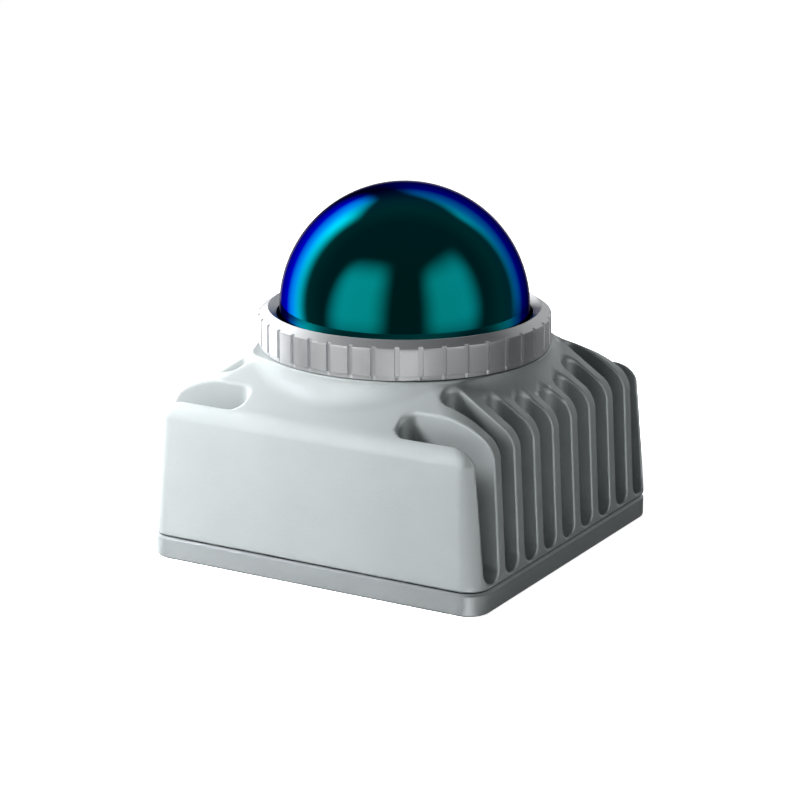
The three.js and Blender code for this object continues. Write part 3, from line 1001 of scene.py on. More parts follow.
@dataclass(frozen=True)
class PlugConnector:
    """The round eight-pin socket on the back: shell, insert and pins along +Y."""

    height: float = 13.5
    seat: float = 31.9
    flange: float = 7.8
    flange_depth: float = 1.8
    thread: float = 6.0
    thread_pitch: float = 1.0
    thread_depth: float = 0.34
    relief: float = 0.35
    fillet: float = 0.25
    flange_round: float = 0.35
    mouth_chamfer: float = 0.2
    bore: float = 4.4
    shoulder: float = 34.5
    rear: float = 4.9
    key_half: float = 0.5
    key_rise: float = 0.5
    pins: int = 8
    pin_circle: float = 2.75
    pin_radius: float = 0.4
    collar: float = 0.5

    @property
    def back(self) -> float:
        """Where the shell starts, inside the housing."""
        return NodeBox.of("connector_shell").low.y

    @property
    def end(self) -> float:
        """Where the shell ends, outside."""
        return NodeBox.of("connector_shell").high.y

    def shell_section(self) -> list[Point]:
        """The shell's section, anticlockwise from its rear inner edge.

        Returns:
            The points.
        """
        flange_top = self.seat + self.flange_depth
        thread, end, fillet = self.thread, self.end, self.fillet
        neck, body, turn = thread - self.relief, thread - 0.15, self.flange_round
        threaded = [(thread, y) for y in np.arange(self.shoulder + 0.25, end - 0.35, 0.1)]
        socket = [(self.bore, y) for y in np.arange(end - 0.25, self.shoulder, -0.4)]
        return [
            (self.rear, self.back),
            (body, self.back),
            (body, self.seat),
            (self.flange - fillet, self.seat),
            (self.flange, self.seat + 0.2),
            *arc((self.flange - turn, flange_top - turn), turn, 0, 90, 4),
            (neck + fillet, flange_top),
            (neck, flange_top + fillet),
            (neck, self.shoulder),
            *threaded,
            (thread - 0.3, end - 0.06),
            (thread - 0.42, end),
            (self.bore + self.mouth_chamfer, end),
            *socket,
            (self.rear, self.shoulder),
        ]

    def shell_radii(self, angle: Array, radius: float, along: float) -> Array:
        """Radii of one row of the shell, with the thread outside and the key inside.

        Args:
            angle: The columns' angles, in radians.
            radius: The row's radius before the cuts.
            along: The row's place along the axis.

        Returns:
            The radius at each column.
        """
        if radius == self.thread and along > self.shoulder + 0.2:
            turn = (along / self.thread_pitch - angle / (2 * math.pi)) % 1
            ridge = np.clip(np.abs(turn - 0.5) * 2.6 - 0.15, 0, 1)
            return radius - self.thread_depth * ridge
        if radius == self.bore and along < self.end - 0.7:
            from_key = np.abs((angle - math.pi / 2 + math.pi) % (2 * math.pi) - math.pi) * radius
            return radius - self.key_rise * np.clip((self.key_half - from_key) / 0.12 + 0.5, 0, 1)
        return np.full(len(angle), radius)

    def shell(self) -> Piece:
        """Makes the threaded shell.

        Returns:
            The piece.
        """
        angles = np.linspace(0, 2 * math.pi, 144, endpoint=False)
        parts = worked(self.shell_section(), angles, self.shell_radii)
        piece = make_object("plug_shell", laid_back(parts, self.height))
        return fitted(piece, "connector_shell")

    def pin_places(self) -> list[Point]:
        """Places of the contacts round the axis: a circle and one in the middle.

        Returns:
            The places as (x, z) points.
        """
        ring = self.pins - 1
        angles = [-math.pi / 2 - 2 * math.pi * (i + 0.5) / ring for i in range(ring)]
        circle = self.pin_circle
        return [*((circle * math.cos(a), circle * math.sin(a)) for a in angles), (0.0, 0.0)]

    def insert(self) -> Piece:
        """Makes the moulded insert, with a raised collar round each contact.

        Returns:
            The piece.
        """
        box = NodeBox.of("connector_insert")
        radius, low, high = (box.high.x - box.low.x) / 2, box.low.y, box.high.y
        body = [(0, low), (radius - 0.2, low), (radius, low + 0.2), (radius, high - 0.45)]
        body += [(radius - 0.15, high - 0.25), (radius - 0.5, high - 0.2), (0, high - 0.2)]
        piece = make_object("plug_insert", laid_back(Lathe(body, 64).parts(), self.height))
        pin, rim = self.pin_radius, self.pin_radius + self.collar
        collar = [(0, high - 1), (rim, high - 1), (rim - 0.05, high), (0, high)]
        hole = [(0, low - 1), (pin + 0.06, low - 1), (pin + 0.06, high - 0.2)]
        hole += [(pin + 0.2, high + 0.1), (0, high + 0.1)]
        collars = MeshParts()
        tools = []
        for x, z in self.pin_places():
            placed = moved(laid_back(Lathe(collar, 24).parts(), self.height), x=x, z=z)
            collars.add(placed.points(), placed.faces)
            tool = moved(laid_back(Lathe(hole, 20).parts(), self.height), x=x, z=z)
            tools.append(make_object("tool", tool))
        shape_with(piece, [make_object("tool", collars)], tools)
        return fitted(piece, "connector_insert")

    def contacts(self) -> list[Piece]:
        """Makes the contacts, each with a rounded tip.

        Returns:
            The pieces.
        """
        made = []
        for index, (x, z) in enumerate(self.pin_places(), start=1):
            box = NodeBox.of(f"connector_pin_{index}")
            low, high, radius = box.low.y, box.high.y, self.pin_radius
            tip = arc((0, high - radius), radius, 0, 80, 6)
            section = [(0, low), (radius - 0.06, low), (radius, low + 0.06), *tip, (0, high)]
            parts = moved(laid_back(Lathe(section, 24).parts(), self.height), x=x, z=z)
            piece = make_object(f"plug_contact_{index}", parts)
            made.append(fitted(piece, f"connector_pin_{index}"))
        return made


@dataclass(frozen=True)
class BaseScrews:
    """The four socket-head screws that hold the base plate."""

    head: float = 2.3
    shank: float = 1.1
    foot: float = 0.3
    head_height: float = 1.3
    socket: float = 1.15
    socket_depth: float = 0.8
    thread_pitch: float = 0.45
    thread_depth: float = 0.16
    plain: float = 0.6
    head_round: float = 0.3
    tip_chamfer: float = 0.2

    def screw(self, name: str, node: str) -> Piece:
        """Makes one screw in the place of its CAD node.

        Args:
            name: The piece's name.
            node: The CAD node that it stands for.

        Returns:
            The screw.
        """
        box = NodeBox.of(node)
        low, under = self.foot, self.foot + self.head_height
        turn, tip = self.head_round, self.tip_chamfer
        rounding = arc((self.head - turn, low + turn), turn, -90, 0, 5)
        section = [(0, low), *rounding, (self.head, under), (self.shank, under)]
        height, root = under + self.plain, self.shank - self.thread_depth
        while height < box.high.z - self.plain:
            section += [(self.shank, height), (root, height + self.thread_pitch / 2)]
            height += self.thread_pitch
        section += [(self.shank - tip, box.high.z - tip), (0, box.high.z)]
        centre = box.centre
        piece = make_object(name, moved(Lathe(section, 48).parts(), centre.x, centre.y))
        across, deep = self.socket, low + self.socket_depth
        hexagon = [(0, low - 1), (across, low - 1), (across, deep), (0, deep + 0.3)]
        tool = make_object("tool", moved(Lathe(hexagon, 6).parts(), centre.x, centre.y))
        shape_with(piece, [], [tool])
        return fitted(piece, node)

    def build(self) -> list[Piece]:
        """Makes all four screws."""
        return [self.screw(f"plate_screw_{i}", f"base_screw_{i}") for i in range(1, 5)]


# ---- Finishes --------------------------------------------------------------------------------

NOISE_LOW = 0.3  # noise seldom falls below this
NOISE_HIGH = 0.7  # nor rises above this
LINE_WOBBLE = 1.2  # how far turned or wound lines stray
LINE_WOBBLE_SCALE = 4.0
EDGE_FROM = 0.53  # pointiness at which the painted edge highlight begins
EDGE_FULL = 0.62  # pointiness at which it is complete


class Surface:
    """The node tree of one material, with short calls for the nodes a finish needs."""

    def __init__(self, name: str) -> None:
        """Starts a material with its shader and the object's own coordinates.

        Args:
            name: The material's name.
        """
        self.material = bpy.data.materials.new(name)
        self.material.use_nodes = True
        self.tree = self.material.node_tree
        self.shader = self.tree.nodes["Principled BSDF"]
        self.place = self.tree.nodes.new("ShaderNodeTexCoord").outputs["Object"]

    def link(self, source: Socket, target: Socket) -> None:
        """Joins an output to an input."""
        self.tree.links.new(source, target)

    def set(self, **values: float | Colour) -> None:
        """Sets the shader's own sockets, named with underscores for spaces.

        Args:
            values: A number or a colour for each socket.
        """
        for name, value in values.items():
            socket = self.shader.inputs[name.replace("_", " ")]
            socket.default_value = (*value, 1.0) if isinstance(value, tuple) else value

    def noise(self, scale: float, detail: float = 3.0) -> Socket:
        """Cloudy noise.

        Args:
            scale: Number of blotches in a metre.
            detail: Number of finer layers.

        Returns:
            The noise's value, round 0.5.
        """
        node = self.tree.nodes.new("ShaderNodeTexNoise")
        node.inputs["Scale"].default_value = scale
        node.inputs["Detail"].default_value = detail
        self.link(self.place, node.inputs["Vector"])
        return node.outputs["Fac"]

    def cells(self, scale: float, feature: str = "F1") -> Socket:
        """Distances between scattered points.

        Args:
            scale: Number of points to a metre.
            feature: Which distance is measured.

        Returns:
            The distance.
        """
        node = self.tree.nodes.new("ShaderNodeTexVoronoi")
        node.feature = feature
        node.inputs["Scale"].default_value = scale
        self.link(self.place, node.inputs["Vector"])
        return node.outputs["Distance"]

    def rings(self, scale: float, axis: str = "Z", kind: str = "RINGS") -> Socket:
        """Fine lines left by turning or winding.

        Args:
            scale: How close together the lines are.
            axis: The axis that they go round, or that they follow.
            kind: RINGS or BANDS.

        Returns:
            The lines' height.
        """
        node = self.tree.nodes.new("ShaderNodeTexWave")
        node.wave_type = kind
        if kind == "RINGS":
            node.rings_direction = axis
        else:
            node.bands_direction = axis
        node.inputs["Scale"].default_value = scale
        node.inputs["Distortion"].default_value = LINE_WOBBLE
        node.inputs["Detail Scale"].default_value = LINE_WOBBLE_SCALE
        self.link(self.place, node.inputs["Vector"])
        return node.outputs["Fac"]

    def blend(self, share: Socket, stops: Sequence[tuple[float, Colour]]) -> Socket:
        """A colour that runs through stops as the share goes from 0 to 1.

        Args:
            share: The socket that picks the colour.
            stops: Places from 0 to 1 with their colours.

        Returns:
            The colour.
        """
        node = self.tree.nodes.new("ShaderNodeValToRGB")
        ramp = node.color_ramp
        while len(ramp.elements) < len(stops):
            ramp.elements.new(0.5)
        for element, (place, colour) in zip(ramp.elements, stops):
            element.position = place
            element.color = (*colour, 1.0)
        self.link(share, node.inputs["Fac"])
        return node.outputs["Color"]

    def spread(self, share: Socket, low: float, high: float) -> Socket:
        """Maps noise to a range.

        Args:
            share: The noise.
            low: The value for its lowest.
            high: The value for its highest.

        Returns:
            The mapped value.
        """
        node = self.tree.nodes.new("ShaderNodeMapRange")
        node.inputs["From Min"].default_value = NOISE_LOW
        node.inputs["From Max"].default_value = NOISE_HIGH
        node.inputs["To Min"].default_value = low
        node.inputs["To Max"].default_value = high
        self.link(share, node.inputs["Value"])
        return node.outputs["Result"]

    def mixed(self, below: Socket, above: Socket | Colour, share: Socket | float,
              kind: str = "MIX") -> Socket:
        """Lays one colour over another.

        Args:
            below: The colour below.
            above: The colour that is laid over it.
            share: How much of it counts.
            kind: The way in which the two are combined.

        Returns:
            The resulting colour.
        """
        node = self.tree.nodes.new("ShaderNodeMix")
        node.data_type = "RGBA"
        node.blend_type = kind
        first, second = [socket for socket in node.inputs if socket.type == "RGBA"]
        self.link(below, first)
        if isinstance(above, tuple):
            second.default_value = (*above, 1.0)
        else:
            self.link(above, second)
        if isinstance(share, float):
            node.inputs["Factor"].default_value = share
        else:
            self.link(share, node.inputs["Factor"])
        return next(socket for socket in node.outputs if socket.type == "RGBA")

    def edge_highlighted(self, colour: Socket, bright: Colour, amount: float) -> Socket:
        """Paints a highlight along outer edges, lightening the colour where light would catch them.

        Args:
            colour: The colour away from edges.
            bright: The colour of the painted edge highlight.
            amount: The share of it on the sharpest edge.

        Returns:
            The mixed colour.
        """
        # painted highlight: the colour is lightened where pointiness is high, standing in for light
        # caught on rounded edges and chamfers
        geometry = self.tree.nodes.new("ShaderNodeNewGeometry")
        edge = self.tree.nodes.new("ShaderNodeMapRange")
        edge.inputs["From Min"].default_value = EDGE_FROM
        edge.inputs["From Max"].default_value = EDGE_FULL
        edge.inputs["To Max"].default_value = amount
        self.link(geometry.outputs["Pointiness"], edge.inputs["Value"])
        return self.mixed(colour, bright, edge.outputs["Result"])

    def raise_by(self, height: Socket, depth_mm: float) -> None:
        """Adds relief of a real depth, over any relief already there.

        Args:
            height: The relief, from 0 to 1.
            depth_mm: Its full height in millimetres.
        """
        node = self.tree.nodes.new("ShaderNodeBump")
        node.inputs["Distance"].default_value = depth_mm * MM
        self.link(height, node.inputs["Height"])
        before = self.shader.inputs["Normal"].links
        if before:
            self.link(before[0].from_socket, node.inputs["Normal"])
        self.link(node.outputs["Normal"], self.shader.inputs["Normal"])


def shaded(colour: Colour, factor: float) -> Colour:
    """A colour made lighter or darker by a factor."""
    return tuple(min(channel * factor, 1.0) for channel in colour)


@dataclass(frozen=True)
class Finish:
    """What every finish has: a drifting colour, a grain and a polish that varies."""

    name: str
    colour: Colour
    drift: float = 0.08
    drift_scale: float = 140.0
    metallic: float = 0.0
    rough: tuple[float, float] = (0.4, 0.5)
    grain_scale: float = 2500.0
    grain_mm: float = 0.02

    def material(self) -> bpy.types.Material:
        """The finish's material, made once.

        Returns:
            The material.
        """
        made = bpy.data.materials.get(self.name)
        if made:
            return made
        surface = Surface(self.name)
        self.paint(surface)
        return surface.material

    def paint(self, surface: Surface) -> None:
        """Lays colour, polish and grain on a surface.

        Args:
            surface: The surface that is painted.
        """
        surface.set(Metallic=self.metallic)
        low, high = shaded(self.colour, 1 - self.drift), shaded(self.colour, 1 + self.drift)
        drift = surface.spread(surface.noise(self.drift_scale), 0.0, 1.0)
        self.colour_over(surface, surface.blend(drift, ((0.0, low), (1.0, high))))
        polish = surface.spread(surface.noise(self.drift_scale * 3, detail=5), *self.rough)
        surface.link(polish, surface.shader.inputs["Roughness"])
        if self.grain_mm:
            surface.raise_by(surface.noise(self.grain_scale, detail=2), self.grain_mm)

    def colour_over(self, surface: Surface, colour: Socket) -> None:
        """Sends the drifting colour to the shader, which a finish may change on the way."""
        surface.link(colour, surface.shader.inputs["Base Color"])

    def dress(self, *pieces: Piece) -> None:
        """Gives the finish to pieces.

        Args:
            pieces: The pieces that are dressed.
        """
        for piece in pieces:
            piece.data.materials.clear()
            piece.data.materials.append(self.material())


@dataclass(frozen=True)
class EdgeLitMetal(Finish):
    """Metal with a highlight painted along its edges."""

    # share and brightness of the painted highlight along edges
    edge_highlight: float = 0.2
    edge_highlight_brightness: float = 1.25

    def colour_over(self, surface: Surface, colour: Socket) -> None:
        """Paints the highlight along the edges."""
        # painted highlight: edges lightened towards a brighter copy of the colour
        edge_highlighted = surface.edge_highlighted(colour, shaded(self.colour, self.edge_highlight_brightness), self.edge_highlight)
        surface.link(edge_highlighted, surface.shader.inputs["Base Color"])


@dataclass(frozen=True)
class BlastedMetal(EdgeLitMetal):
    """Bead-blasted and anodised aluminium."""

    # strong painted highlight along the fins' and slots' edges, where light catches their roundings
    edge_highlight: float = 0.7
    edge_highlight_brightness: float = 1.7
    dimple_scale: float = 3800.0
    dimple_mm: float = 0.012

    def paint(self, surface: Surface) -> None:
        """Adds the blasting's shallow dimples."""
        super().paint(surface)
        surface.raise_by(surface.cells(self.dimple_scale, "SMOOTH_F1"), self.dimple_mm)


@dataclass(frozen=True)
class TurnedMetal(EdgeLitMetal):
    """Metal with the fine rings of a lathe."""

    ring_scale: float = 900.0
    ring_mm: float = 0.006
    axis: str = "Z"

    def paint(self, surface: Surface) -> None:
        """Adds the rings."""
        super().paint(surface)
        surface.raise_by(surface.rings(self.ring_scale, self.axis), self.ring_mm)


@dataclass(frozen=True)
class FilmCoat(Finish):
    """A gloss window under a thin film whose tint turns with the angle of the light."""

    tints: tuple[tuple[float, Colour], ...] = ()
    rim: Colour = (0.1, 0.05, 0.2)
    orange_peel_scale: float = 60.0
    orange_peel_mm: float = 0.004

    def colour_over(self, surface: Surface, colour: Socket) -> None:
        """Tints the film by the angle at which light leaves it.

        Args:
            surface: The surface that is painted.
            colour: Its drifting colour.
        """
        facing = surface.tree.nodes.new("ShaderNodeLayerWeight")
        facing.inputs["Blend"].default_value = 0.5
        tint = surface.blend(facing.outputs["Facing"], self.tints)
        tinted = surface.mixed(tint, colour, 1.0, "MULTIPLY")
        surface.link(tinted, surface.shader.inputs["Base Color"])

    def paint(self, surface: Surface) -> None:
        """Adds the faint waviness of a moulded dome.

        Args:
            surface: The surface that is painted.
        """
        super().paint(surface)
        surface.set(Specular_Tint=self.rim)
        surface.raise_by(surface.noise(self.orange_peel_scale, detail=1), self.orange_peel_mm)


@dataclass(frozen=True)
class SolderMask(Finish):
    """A printed board: lacquer over copper tracks."""

    track_scale: float = 420.0
    track_mm: float = 0.03
    track_shade: float = 1.5
    track_edge: tuple[float, float] = (0.04, 0.07)
    track_share: float = 0.6

    def colour_over(self, surface: Surface, colour: Socket) -> None:
        """Draws the tracks under the lacquer.

        Args:
            surface: The surface that is painted.
            colour: Its drifting colour.
        """
        edge = surface.cells(self.track_scale, "DISTANCE_TO_EDGE")
        copper = shaded(self.colour, self.track_shade)
        tracks = surface.blend(edge, tuple(zip(self.track_edge, (copper, self.colour))))
        mixed = surface.mixed(colour, tracks, self.track_share)
        surface.link(mixed, surface.shader.inputs["Base Color"])

    def paint(self, surface: Surface) -> None:
        """Raises the tracks."""
        super().paint(surface)
        surface.raise_by(surface.cells(self.track_scale, "DISTANCE_TO_EDGE"), self.track_mm)


@dataclass(frozen=True)
class Wound(Finish):
    """Enamelled wire wound in layers."""

    wire_scale: float = 1300.0
    wire_mm: float = 0.12

    def paint(self, surface: Surface) -> None:
        """Adds the turns of wire."""
        super().paint(surface)
        surface.raise_by(surface.rings(self.wire_scale, "Z", "BANDS"), self.wire_mm)


@dataclass(frozen=True)
class ClearGlass(Finish):
    """Polished optical glass."""

    clearness: float = 0.92
    index: float = 1.52

    def paint(self, surface: Surface) -> None:
        """Lets light through."""
        super().paint(surface)
        surface.set(Transmission_Weight=self.clearness, IOR=self.index)


class Slot(Enum):
    """The finish of each material slot in the record."""

    HOUSING = BlastedMetal(
        "housing_cast", (0.412, 0.446, 0.452), drift=0.025, drift_scale=90.0, metallic=0.85,
        rough=(0.42, 0.47),
    )
    PLATE = BlastedMetal(
        "base_plate_cast", (0.335, 0.36, 0.368), drift=0.025, drift_scale=90.0, metallic=0.85,
        rough=(0.4, 0.45), edge_highlight=0.0,
    )
    RING = TurnedMetal(
        "ring_turned", (0.6, 0.613, 0.627), drift=0.03, drift_scale=120.0, metallic=0.95,
        rough=(0.32, 0.38), grain_mm=0.006,
    )
    DOME = FilmCoat(
        "dome_film", (0.92, 0.92, 0.92), drift=0.06, drift_scale=60.0, metallic=1.0,
        rough=(0.05, 0.07), grain_scale=400.0, grain_mm=0.0, rim=(0.12, 0.12, 0.25),
        tints=(
            (0.0, (0.0006, 0.24, 0.235)),
            (0.26, (0.0006, 0.28, 0.31)),
            (0.36, (0.002, 0.5, 0.5)),
            (0.45, (0.003, 0.46, 0.6)),
            (0.54, (0.01, 0.22, 0.6)),
            (0.66, (0.09, 0.11, 0.48)),
            (0.8, (0.19, 0.1, 0.42)),
            (1.0, (0.12, 0.14, 0.22)),
        ),
    )
    SEAL = Finish(
        "seal_rubber_black", (0.022, 0.022, 0.023), drift=0.2, drift_scale=300.0, metallic=0.0,
        rough=(0.6, 0.75), grain_scale=1800.0, grain_mm=0.03,
    )
    SCREW = TurnedMetal(
        "screw_steel_plain", (0.5, 0.51, 0.53), drift=0.06, drift_scale=500.0, metallic=1.0,
        rough=(0.22, 0.32),
    )
    NICKEL = TurnedMetal(
        "plug_nickel", (0.62, 0.61, 0.575), drift=0.05, drift_scale=300.0, metallic=1.0,
        rough=(0.18, 0.28), grain_mm=0.003, ring_scale=1500.0, ring_mm=0.002, axis="Y",
    )
    GOLD = TurnedMetal(
        "contact_gold_plate", (0.83, 0.6, 0.22), drift=0.05, drift_scale=800.0, metallic=1.0,
        rough=(0.16, 0.24), ring_scale=3000.0, ring_mm=0.002, axis="Y",
    )
    PLASTIC = Finish(
        "moulded_black", (0.025, 0.025, 0.027), drift=0.15, drift_scale=260.0, metallic=0.0,
        rough=(0.38, 0.5), grain_scale=3200.0, grain_mm=0.015,
    )
    BOARD = SolderMask(
        "board_green", (0.004, 0.05, 0.02), drift=0.12, drift_scale=240.0, metallic=0.0,
        rough=(0.22, 0.34),
    )
    SILICONE = Finish(
        "thermal_pad_soft", (0.3, 0.38, 0.46), drift=0.1, drift_scale=320.0, metallic=0.0,
        rough=(0.65, 0.8), grain_scale=2200.0, grain_mm=0.05,
    )
    WIRE = Finish(
        "wire_jacket_dark", (0.03, 0.03, 0.032), drift=0.15, drift_scale=400.0, metallic=0.0,
        rough=(0.4, 0.5), grain_scale=1200.0, grain_mm=0.02,
    )
    BRASS = TurnedMetal(
        "turned_brass", (0.68, 0.5, 0.22), drift=0.06, drift_scale=260.0, metallic=1.0,
        rough=(0.22, 0.32),
    )
    MACHINED = TurnedMetal(
        "machined_aluminium_plain", (0.66, 0.67, 0.68), drift=0.05, drift_scale=160.0,
        metallic=1.0, rough=(0.24, 0.34),
    )
    MOTOR_STEEL = TurnedMetal(
        "motor_steel_ground", (0.42, 0.425, 0.44), drift=0.07, drift_scale=240.0, metallic=1.0,
        rough=(0.24, 0.36),
    )
    COPPER = Wound(
        "copper_winding", (0.6, 0.23, 0.1), drift=0.12, drift_scale=320.0, metallic=1.0,
        rough=(0.25, 0.38),
    )
    FERRITE = Finish(
        "sintered_ferrite", (0.07, 0.068, 0.066), drift=0.2, drift_scale=400.0, metallic=0.0,
        rough=(0.5, 0.65), grain_scale=1500.0, grain_mm=0.05,
    )
    GLASS = ClearGlass(
        "lens_glass", (0.9, 0.94, 0.95), drift=0.02, drift_scale=80.0, metallic=0.0,
        rough=(0.01, 0.03), grain_scale=400.0, grain_mm=0.0,
    )
    MIRROR = Finish(
        "mirror_coating", (0.9, 0.86, 0.7), drift=0.02, drift_scale=200.0, metallic=1.0,
        rough=(0.02, 0.05), grain_scale=500.0, grain_mm=0.0004,
    )

    def dress(self, *pieces: Piece) -> None:
        """Gives this finish to pieces."""
        self.value.dress(*pieces)


RECORD_SLOTS = {
    "die_cast_aluminium": Slot.HOUSING,
    "ring_aluminium": Slot.RING,
    "coated_window": Slot.DOME,
    "seal_rubber": Slot.SEAL,
    "screw_steel": Slot.SCREW,
    "nickel_plate": Slot.NICKEL,
    "contact_gold": Slot.GOLD,
    "black_plastic": Slot.PLASTIC,
    "circuit_board": Slot.BOARD,
    "thermal_silicone": Slot.SILICONE,
    "wire_jacket": Slot.WIRE,
    "brass": Slot.BRASS,
    "machined_aluminium": Slot.MACHINED,
    "motor_steel": Slot.MOTOR_STEEL,
    "copper_wire": Slot.COPPER,
    "ferrite": Slot.FERRITE,
    "optical_glass": Slot.GLASS,
    "mirror_coat": Slot.MIRROR,
}


# ---- Light and camera ------------------------------------------------------------------------


@dataclass(frozen=True)
class SoftBox:
    """A curved light panel seen in a range of directions from the dome."""

    name: str
    corners: tuple[Triple, Triple, Triple, Triple]
    radiance: float
    distance: float = 0.6
    edge: float = 0.16
    tint: Colour = (1.0, 1.0, 1.0)
    middle: Triple = (0.0, 0.0, 0.0413)
    steps: int = 13

    def build(self) -> Piece:
        """Makes the panel, bright on the inside and soft at its edges.

        Returns:
            The panel.
        """
        steps = self.steps
        low_left, low_right, high_right, high_left = (np.array(c, float) for c in self.corners)
        points, places = [], []
        for v in np.linspace(0, 1, steps):
            for u in np.linspace(0, 1, steps):
                low = low_left + (low_right - low_left) * u
                high = high_left + (high_right - high_left) * u
                way = low + (high - low) * v
                way = way / np.linalg.norm(way)
                points.append((np.array(self.middle) + way * self.distance) / MM)
                places.append((u, v))
        faces = grid_faces(steps, steps, wrap=False)
        panel = make_object(self.name, MeshParts().add(np.array(points), faces))
        layer = panel.data.uv_layers.new(name="panel")
        for loop in panel.data.loops:
            layer.data[loop.index].uv = places[loop.vertex_index]
        panel.data.materials.append(self.glow())
        panel.visible_camera = False
        panel.visible_shadow = False
        return panel

    def glow(self) -> bpy.types.Material:
        """An emission on the inner side that fades to nothing towards the panel's edges.

        Returns:
            The material.
        """
        surface = Surface(self.name)
        tree = surface.tree
        place = tree.nodes.new("ShaderNodeTexCoord").outputs["UV"]
        split = tree.nodes.new("ShaderNodeSeparateXYZ")
        surface.link(place, split.inputs["Vector"])
        fades = []
        for axis in ("X", "Y"):
            for start, end in ((0.0, self.edge), (1.0, 1.0 - self.edge)):
                fade = tree.nodes.new("ShaderNodeMapRange")
                fade.interpolation_type = "SMOOTHSTEP"
                fade.inputs["From Min"].default_value = start
                fade.inputs["From Max"].default_value = end
                surface.link(split.outputs[axis], fade.inputs["Value"])
                fades.append(fade.outputs["Result"])
        share = tree.nodes.new("ShaderNodeNewGeometry").outputs["Backfacing"]
        for fade in fades:
            times = tree.nodes.new("ShaderNodeMath")
            times.operation = "MULTIPLY"
            surface.link(share, times.inputs[0])
            surface.link(fade, times.inputs[1])
            share = times.outputs[0]
        emission = tree.nodes.new("ShaderNodeEmission")
        emission.inputs["Color"].default_value = (*self.tint, 1.0)
        emission.inputs["Strength"].default_value = self.radiance
        clear = tree.nodes.new("ShaderNodeBsdfTransparent")
        mix = tree.nodes.new("ShaderNodeMixShader")
        surface.link(share, mix.inputs["Fac"])
        surface.link(clear.outputs["BSDF"], mix.inputs[1])
        surface.link(emission.outputs["Emission"], mix.inputs[2])
        output = tree.nodes["Material Output"]
        surface.link(mix.outputs["Shader"], output.inputs["Surface"])
        return surface.material


def toward(azimuth: float, elevation: float) -> Triple:
    """The direction at an azimuth, anticlockwise from +X, and an elevation, in degrees."""
    a, e = math.radians(azimuth), math.radians(elevation)
    return (math.cos(e) * math.cos(a), math.cos(e) * math.sin(a), math.sin(e))


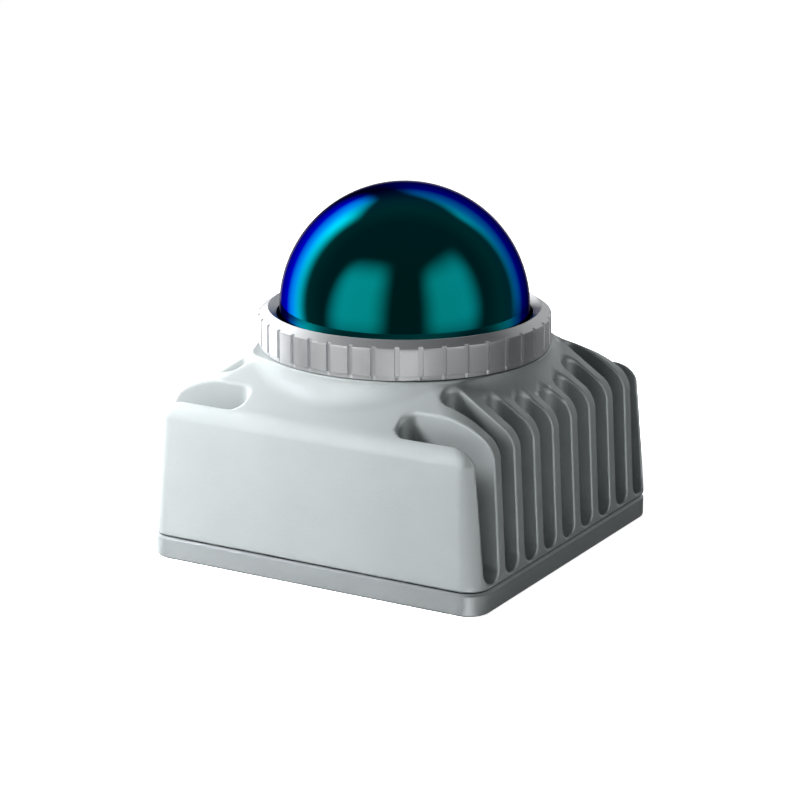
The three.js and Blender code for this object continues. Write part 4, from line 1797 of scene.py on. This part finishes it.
@dataclass(frozen=True)
class Studio:
    """A pale table, curved light panels, a key lamp and the camera, in metres."""

    distance: float = 0.49845
    aim: Triple = (-0.000701, -0.000406, 0.02442)
    azimuth: float = 30.08
    elevation: float = 16.10
    lens: float = 128.66
    sensor: float = 36.0
    clip_end: float = 20.0
    floor_half: float = 3.0
    floor_drop_mm: float = 0.02
    floor_glow: float = 0.88
    floor_tones: tuple[float, float] = (0.84, 0.87)
    surround_tint: Colour = (0.9, 0.95, 1.0)
    surround_strength: float = 0.045
    boxes: tuple[SoftBox, ...] = (
        SoftBox(
            "box_left_strip",
            ((-1, 1.3, -1.1), (-1, -0.72, -1.1), (-1, 0.04, 1.6), (-1, 1.0, 1.6)),
            radiance=2.1, edge=0.34,
        ),
        SoftBox(
            "box_left",
            (toward(-140, -22), toward(-72, -22), toward(-68, 54), toward(-134, 44)),
            radiance=1.05, edge=0.36,
        ),
        SoftBox(
            "box_right",
            (toward(-48, -22), toward(15, -18), toward(28, 54), toward(-48, 46)),
            radiance=0.9, edge=0.36,
        ),
        SoftBox(
            "box_right_strip",
            ((0.95, 1, -0.42), (-1.1, 1, -0.42), (-0.6, 1, 1.3), (0.4, 1, 1.3)),
            radiance=0.62, edge=0.25,
        ),
        SoftBox(
            "card_front",
            (toward(-82, -56), toward(-36, -56), toward(-38, -12), toward(-80, -12)),
            radiance=2.3, edge=0.25,
        ),
    )
    key_place: Triple = (-0.10, -0.09, 0.104)
    key_aim: Triple = (0.0, 0.0, 0.015)
    key_size: float = 0.05
    key_watts: float = 2.15

    def key(self) -> None:
        """A small lamp close to the front left corner, which the glossy dome doesn't show."""
        lamp = bpy.data.lights.new("key", "AREA")
        lamp.shape = "DISK"
        lamp.size = self.key_size
        lamp.energy = self.key_watts
        key = bpy.data.objects.new("key", lamp)
        key.location = self.key_place
        way = Vector(self.key_aim) - Vector(self.key_place)
        key.rotation_euler = way.to_track_quat("-Z", "Y").to_euler()
        key.visible_camera = False
        key.visible_glossy = False
        bpy.context.scene.collection.objects.link(key)

    def floor(self) -> None:
        """A plain pale floor."""
        half = self.floor_half / MM
        low = -self.floor_drop_mm
        corners = [(-half, -half, low), (half, -half, low), (half, half, low), (-half, half, low)]
        plane = make_object("table_top", MeshParts().add(np.array(corners), [(0, 1, 2, 3)]))
        surface = Surface("table_paint")
        pale = surface.spread(surface.noise(6, detail=2), 0.0, 1.0)
        stops = [(place, (tone, tone, tone)) for place, tone in enumerate(self.floor_tones)]
        colour = surface.blend(pale, stops)
        surface.link(colour, surface.shader.inputs["Base Color"])
        surface.set(Roughness=0.9, Emission_Color=(1.0, 1.0, 1.0), Emission_Strength=self.floor_glow)
        plane.data.materials.append(surface.material)
        plane.visible_glossy = False
        plane.visible_shadow = False

    def world(self) -> None:
        """A dim even surround."""
        world = bpy.data.worlds.new("surround")
        world.use_nodes = True
        background = world.node_tree.nodes["Background"]
        background.inputs["Color"].default_value = (*self.surround_tint, 1.0)
        background.inputs["Strength"].default_value = self.surround_strength
        bpy.context.scene.world = world

    def camera(self) -> None:
        """A long lens from the front left corner, a little above."""
        a, e = math.radians(self.azimuth), math.radians(self.elevation)
        back = Vector((math.sin(a) * math.cos(e), -math.cos(a) * math.cos(e), math.sin(e)))
        aim = Vector(self.aim)
        data = bpy.data.cameras.new("camera")
        data.lens = self.lens
        data.sensor_width = self.sensor
        data.clip_end = self.clip_end
        camera = bpy.data.objects.new("camera", data)
        camera.location = aim + back * self.distance
        camera.rotation_euler = (-back).to_track_quat("-Z", "Y").to_euler()
        bpy.context.scene.collection.objects.link(camera)
        bpy.context.scene.camera = camera

    def build(self) -> None:
        """Sets up the whole studio."""
        self.floor()
        self.world()
        self.camera()
        self.key()
        for box in self.boxes:
            box.build()
        bpy.context.scene.view_settings.view_transform = "Standard"


# ---- The whole scanner -----------------------------------------------------------------------


def dress_inner_pieces() -> int:
    """Gives each CAD node that stays in the model the finish of its slot.

    Returns:
        The number of nodes dressed.
    """
    count = 0
    for part in frame["record"]["subparts"]:
        piece = frame["nodes"].get(part["node"])
        if piece:
            piece.data.shade_smooth()
            piece.data.set_sharp_from_angle(angle=math.radians(INNER_SHARP))
            RECORD_SLOTS[part["material_slot"]].dress(piece)
            count += 1
    return count


def finish_pieces(slot: Slot, *pieces: Piece) -> None:
    """Dresses pieces and reports each one.

    Args:
        slot: The finish.
        pieces: The pieces that get it.
    """
    slot.dress(*pieces)
    for piece in pieces:
        log.info("%s: %d faces, %s", piece.name, len(piece.data.polygons), slot.value.name)


def main() -> None:
    """Builds the scanner piece by piece, then lights it."""
    logging.basicConfig(level=logging.INFO, format="%(message)s")
    count = dress_inner_pieces()
    log.info("inner pieces dressed: %d", count)

    finish_pieces(Slot.HOUSING, Housing().build())
    finish_pieces(Slot.PLATE, BasePlate().build())
    finish_pieces(Slot.RING, WindowRing().build())
    finish_pieces(Slot.DOME, DomeWindow().build())

    plug = PlugConnector()
    finish_pieces(Slot.NICKEL, plug.shell())
    finish_pieces(Slot.PLASTIC, plug.insert())
    finish_pieces(Slot.GOLD, *plug.contacts())
    finish_pieces(Slot.SCREW, *BaseScrews().build())

    Studio().build()
    log.info("studio ready")
    log.info("sizes written")


if __name__ == "__main__":
    main()
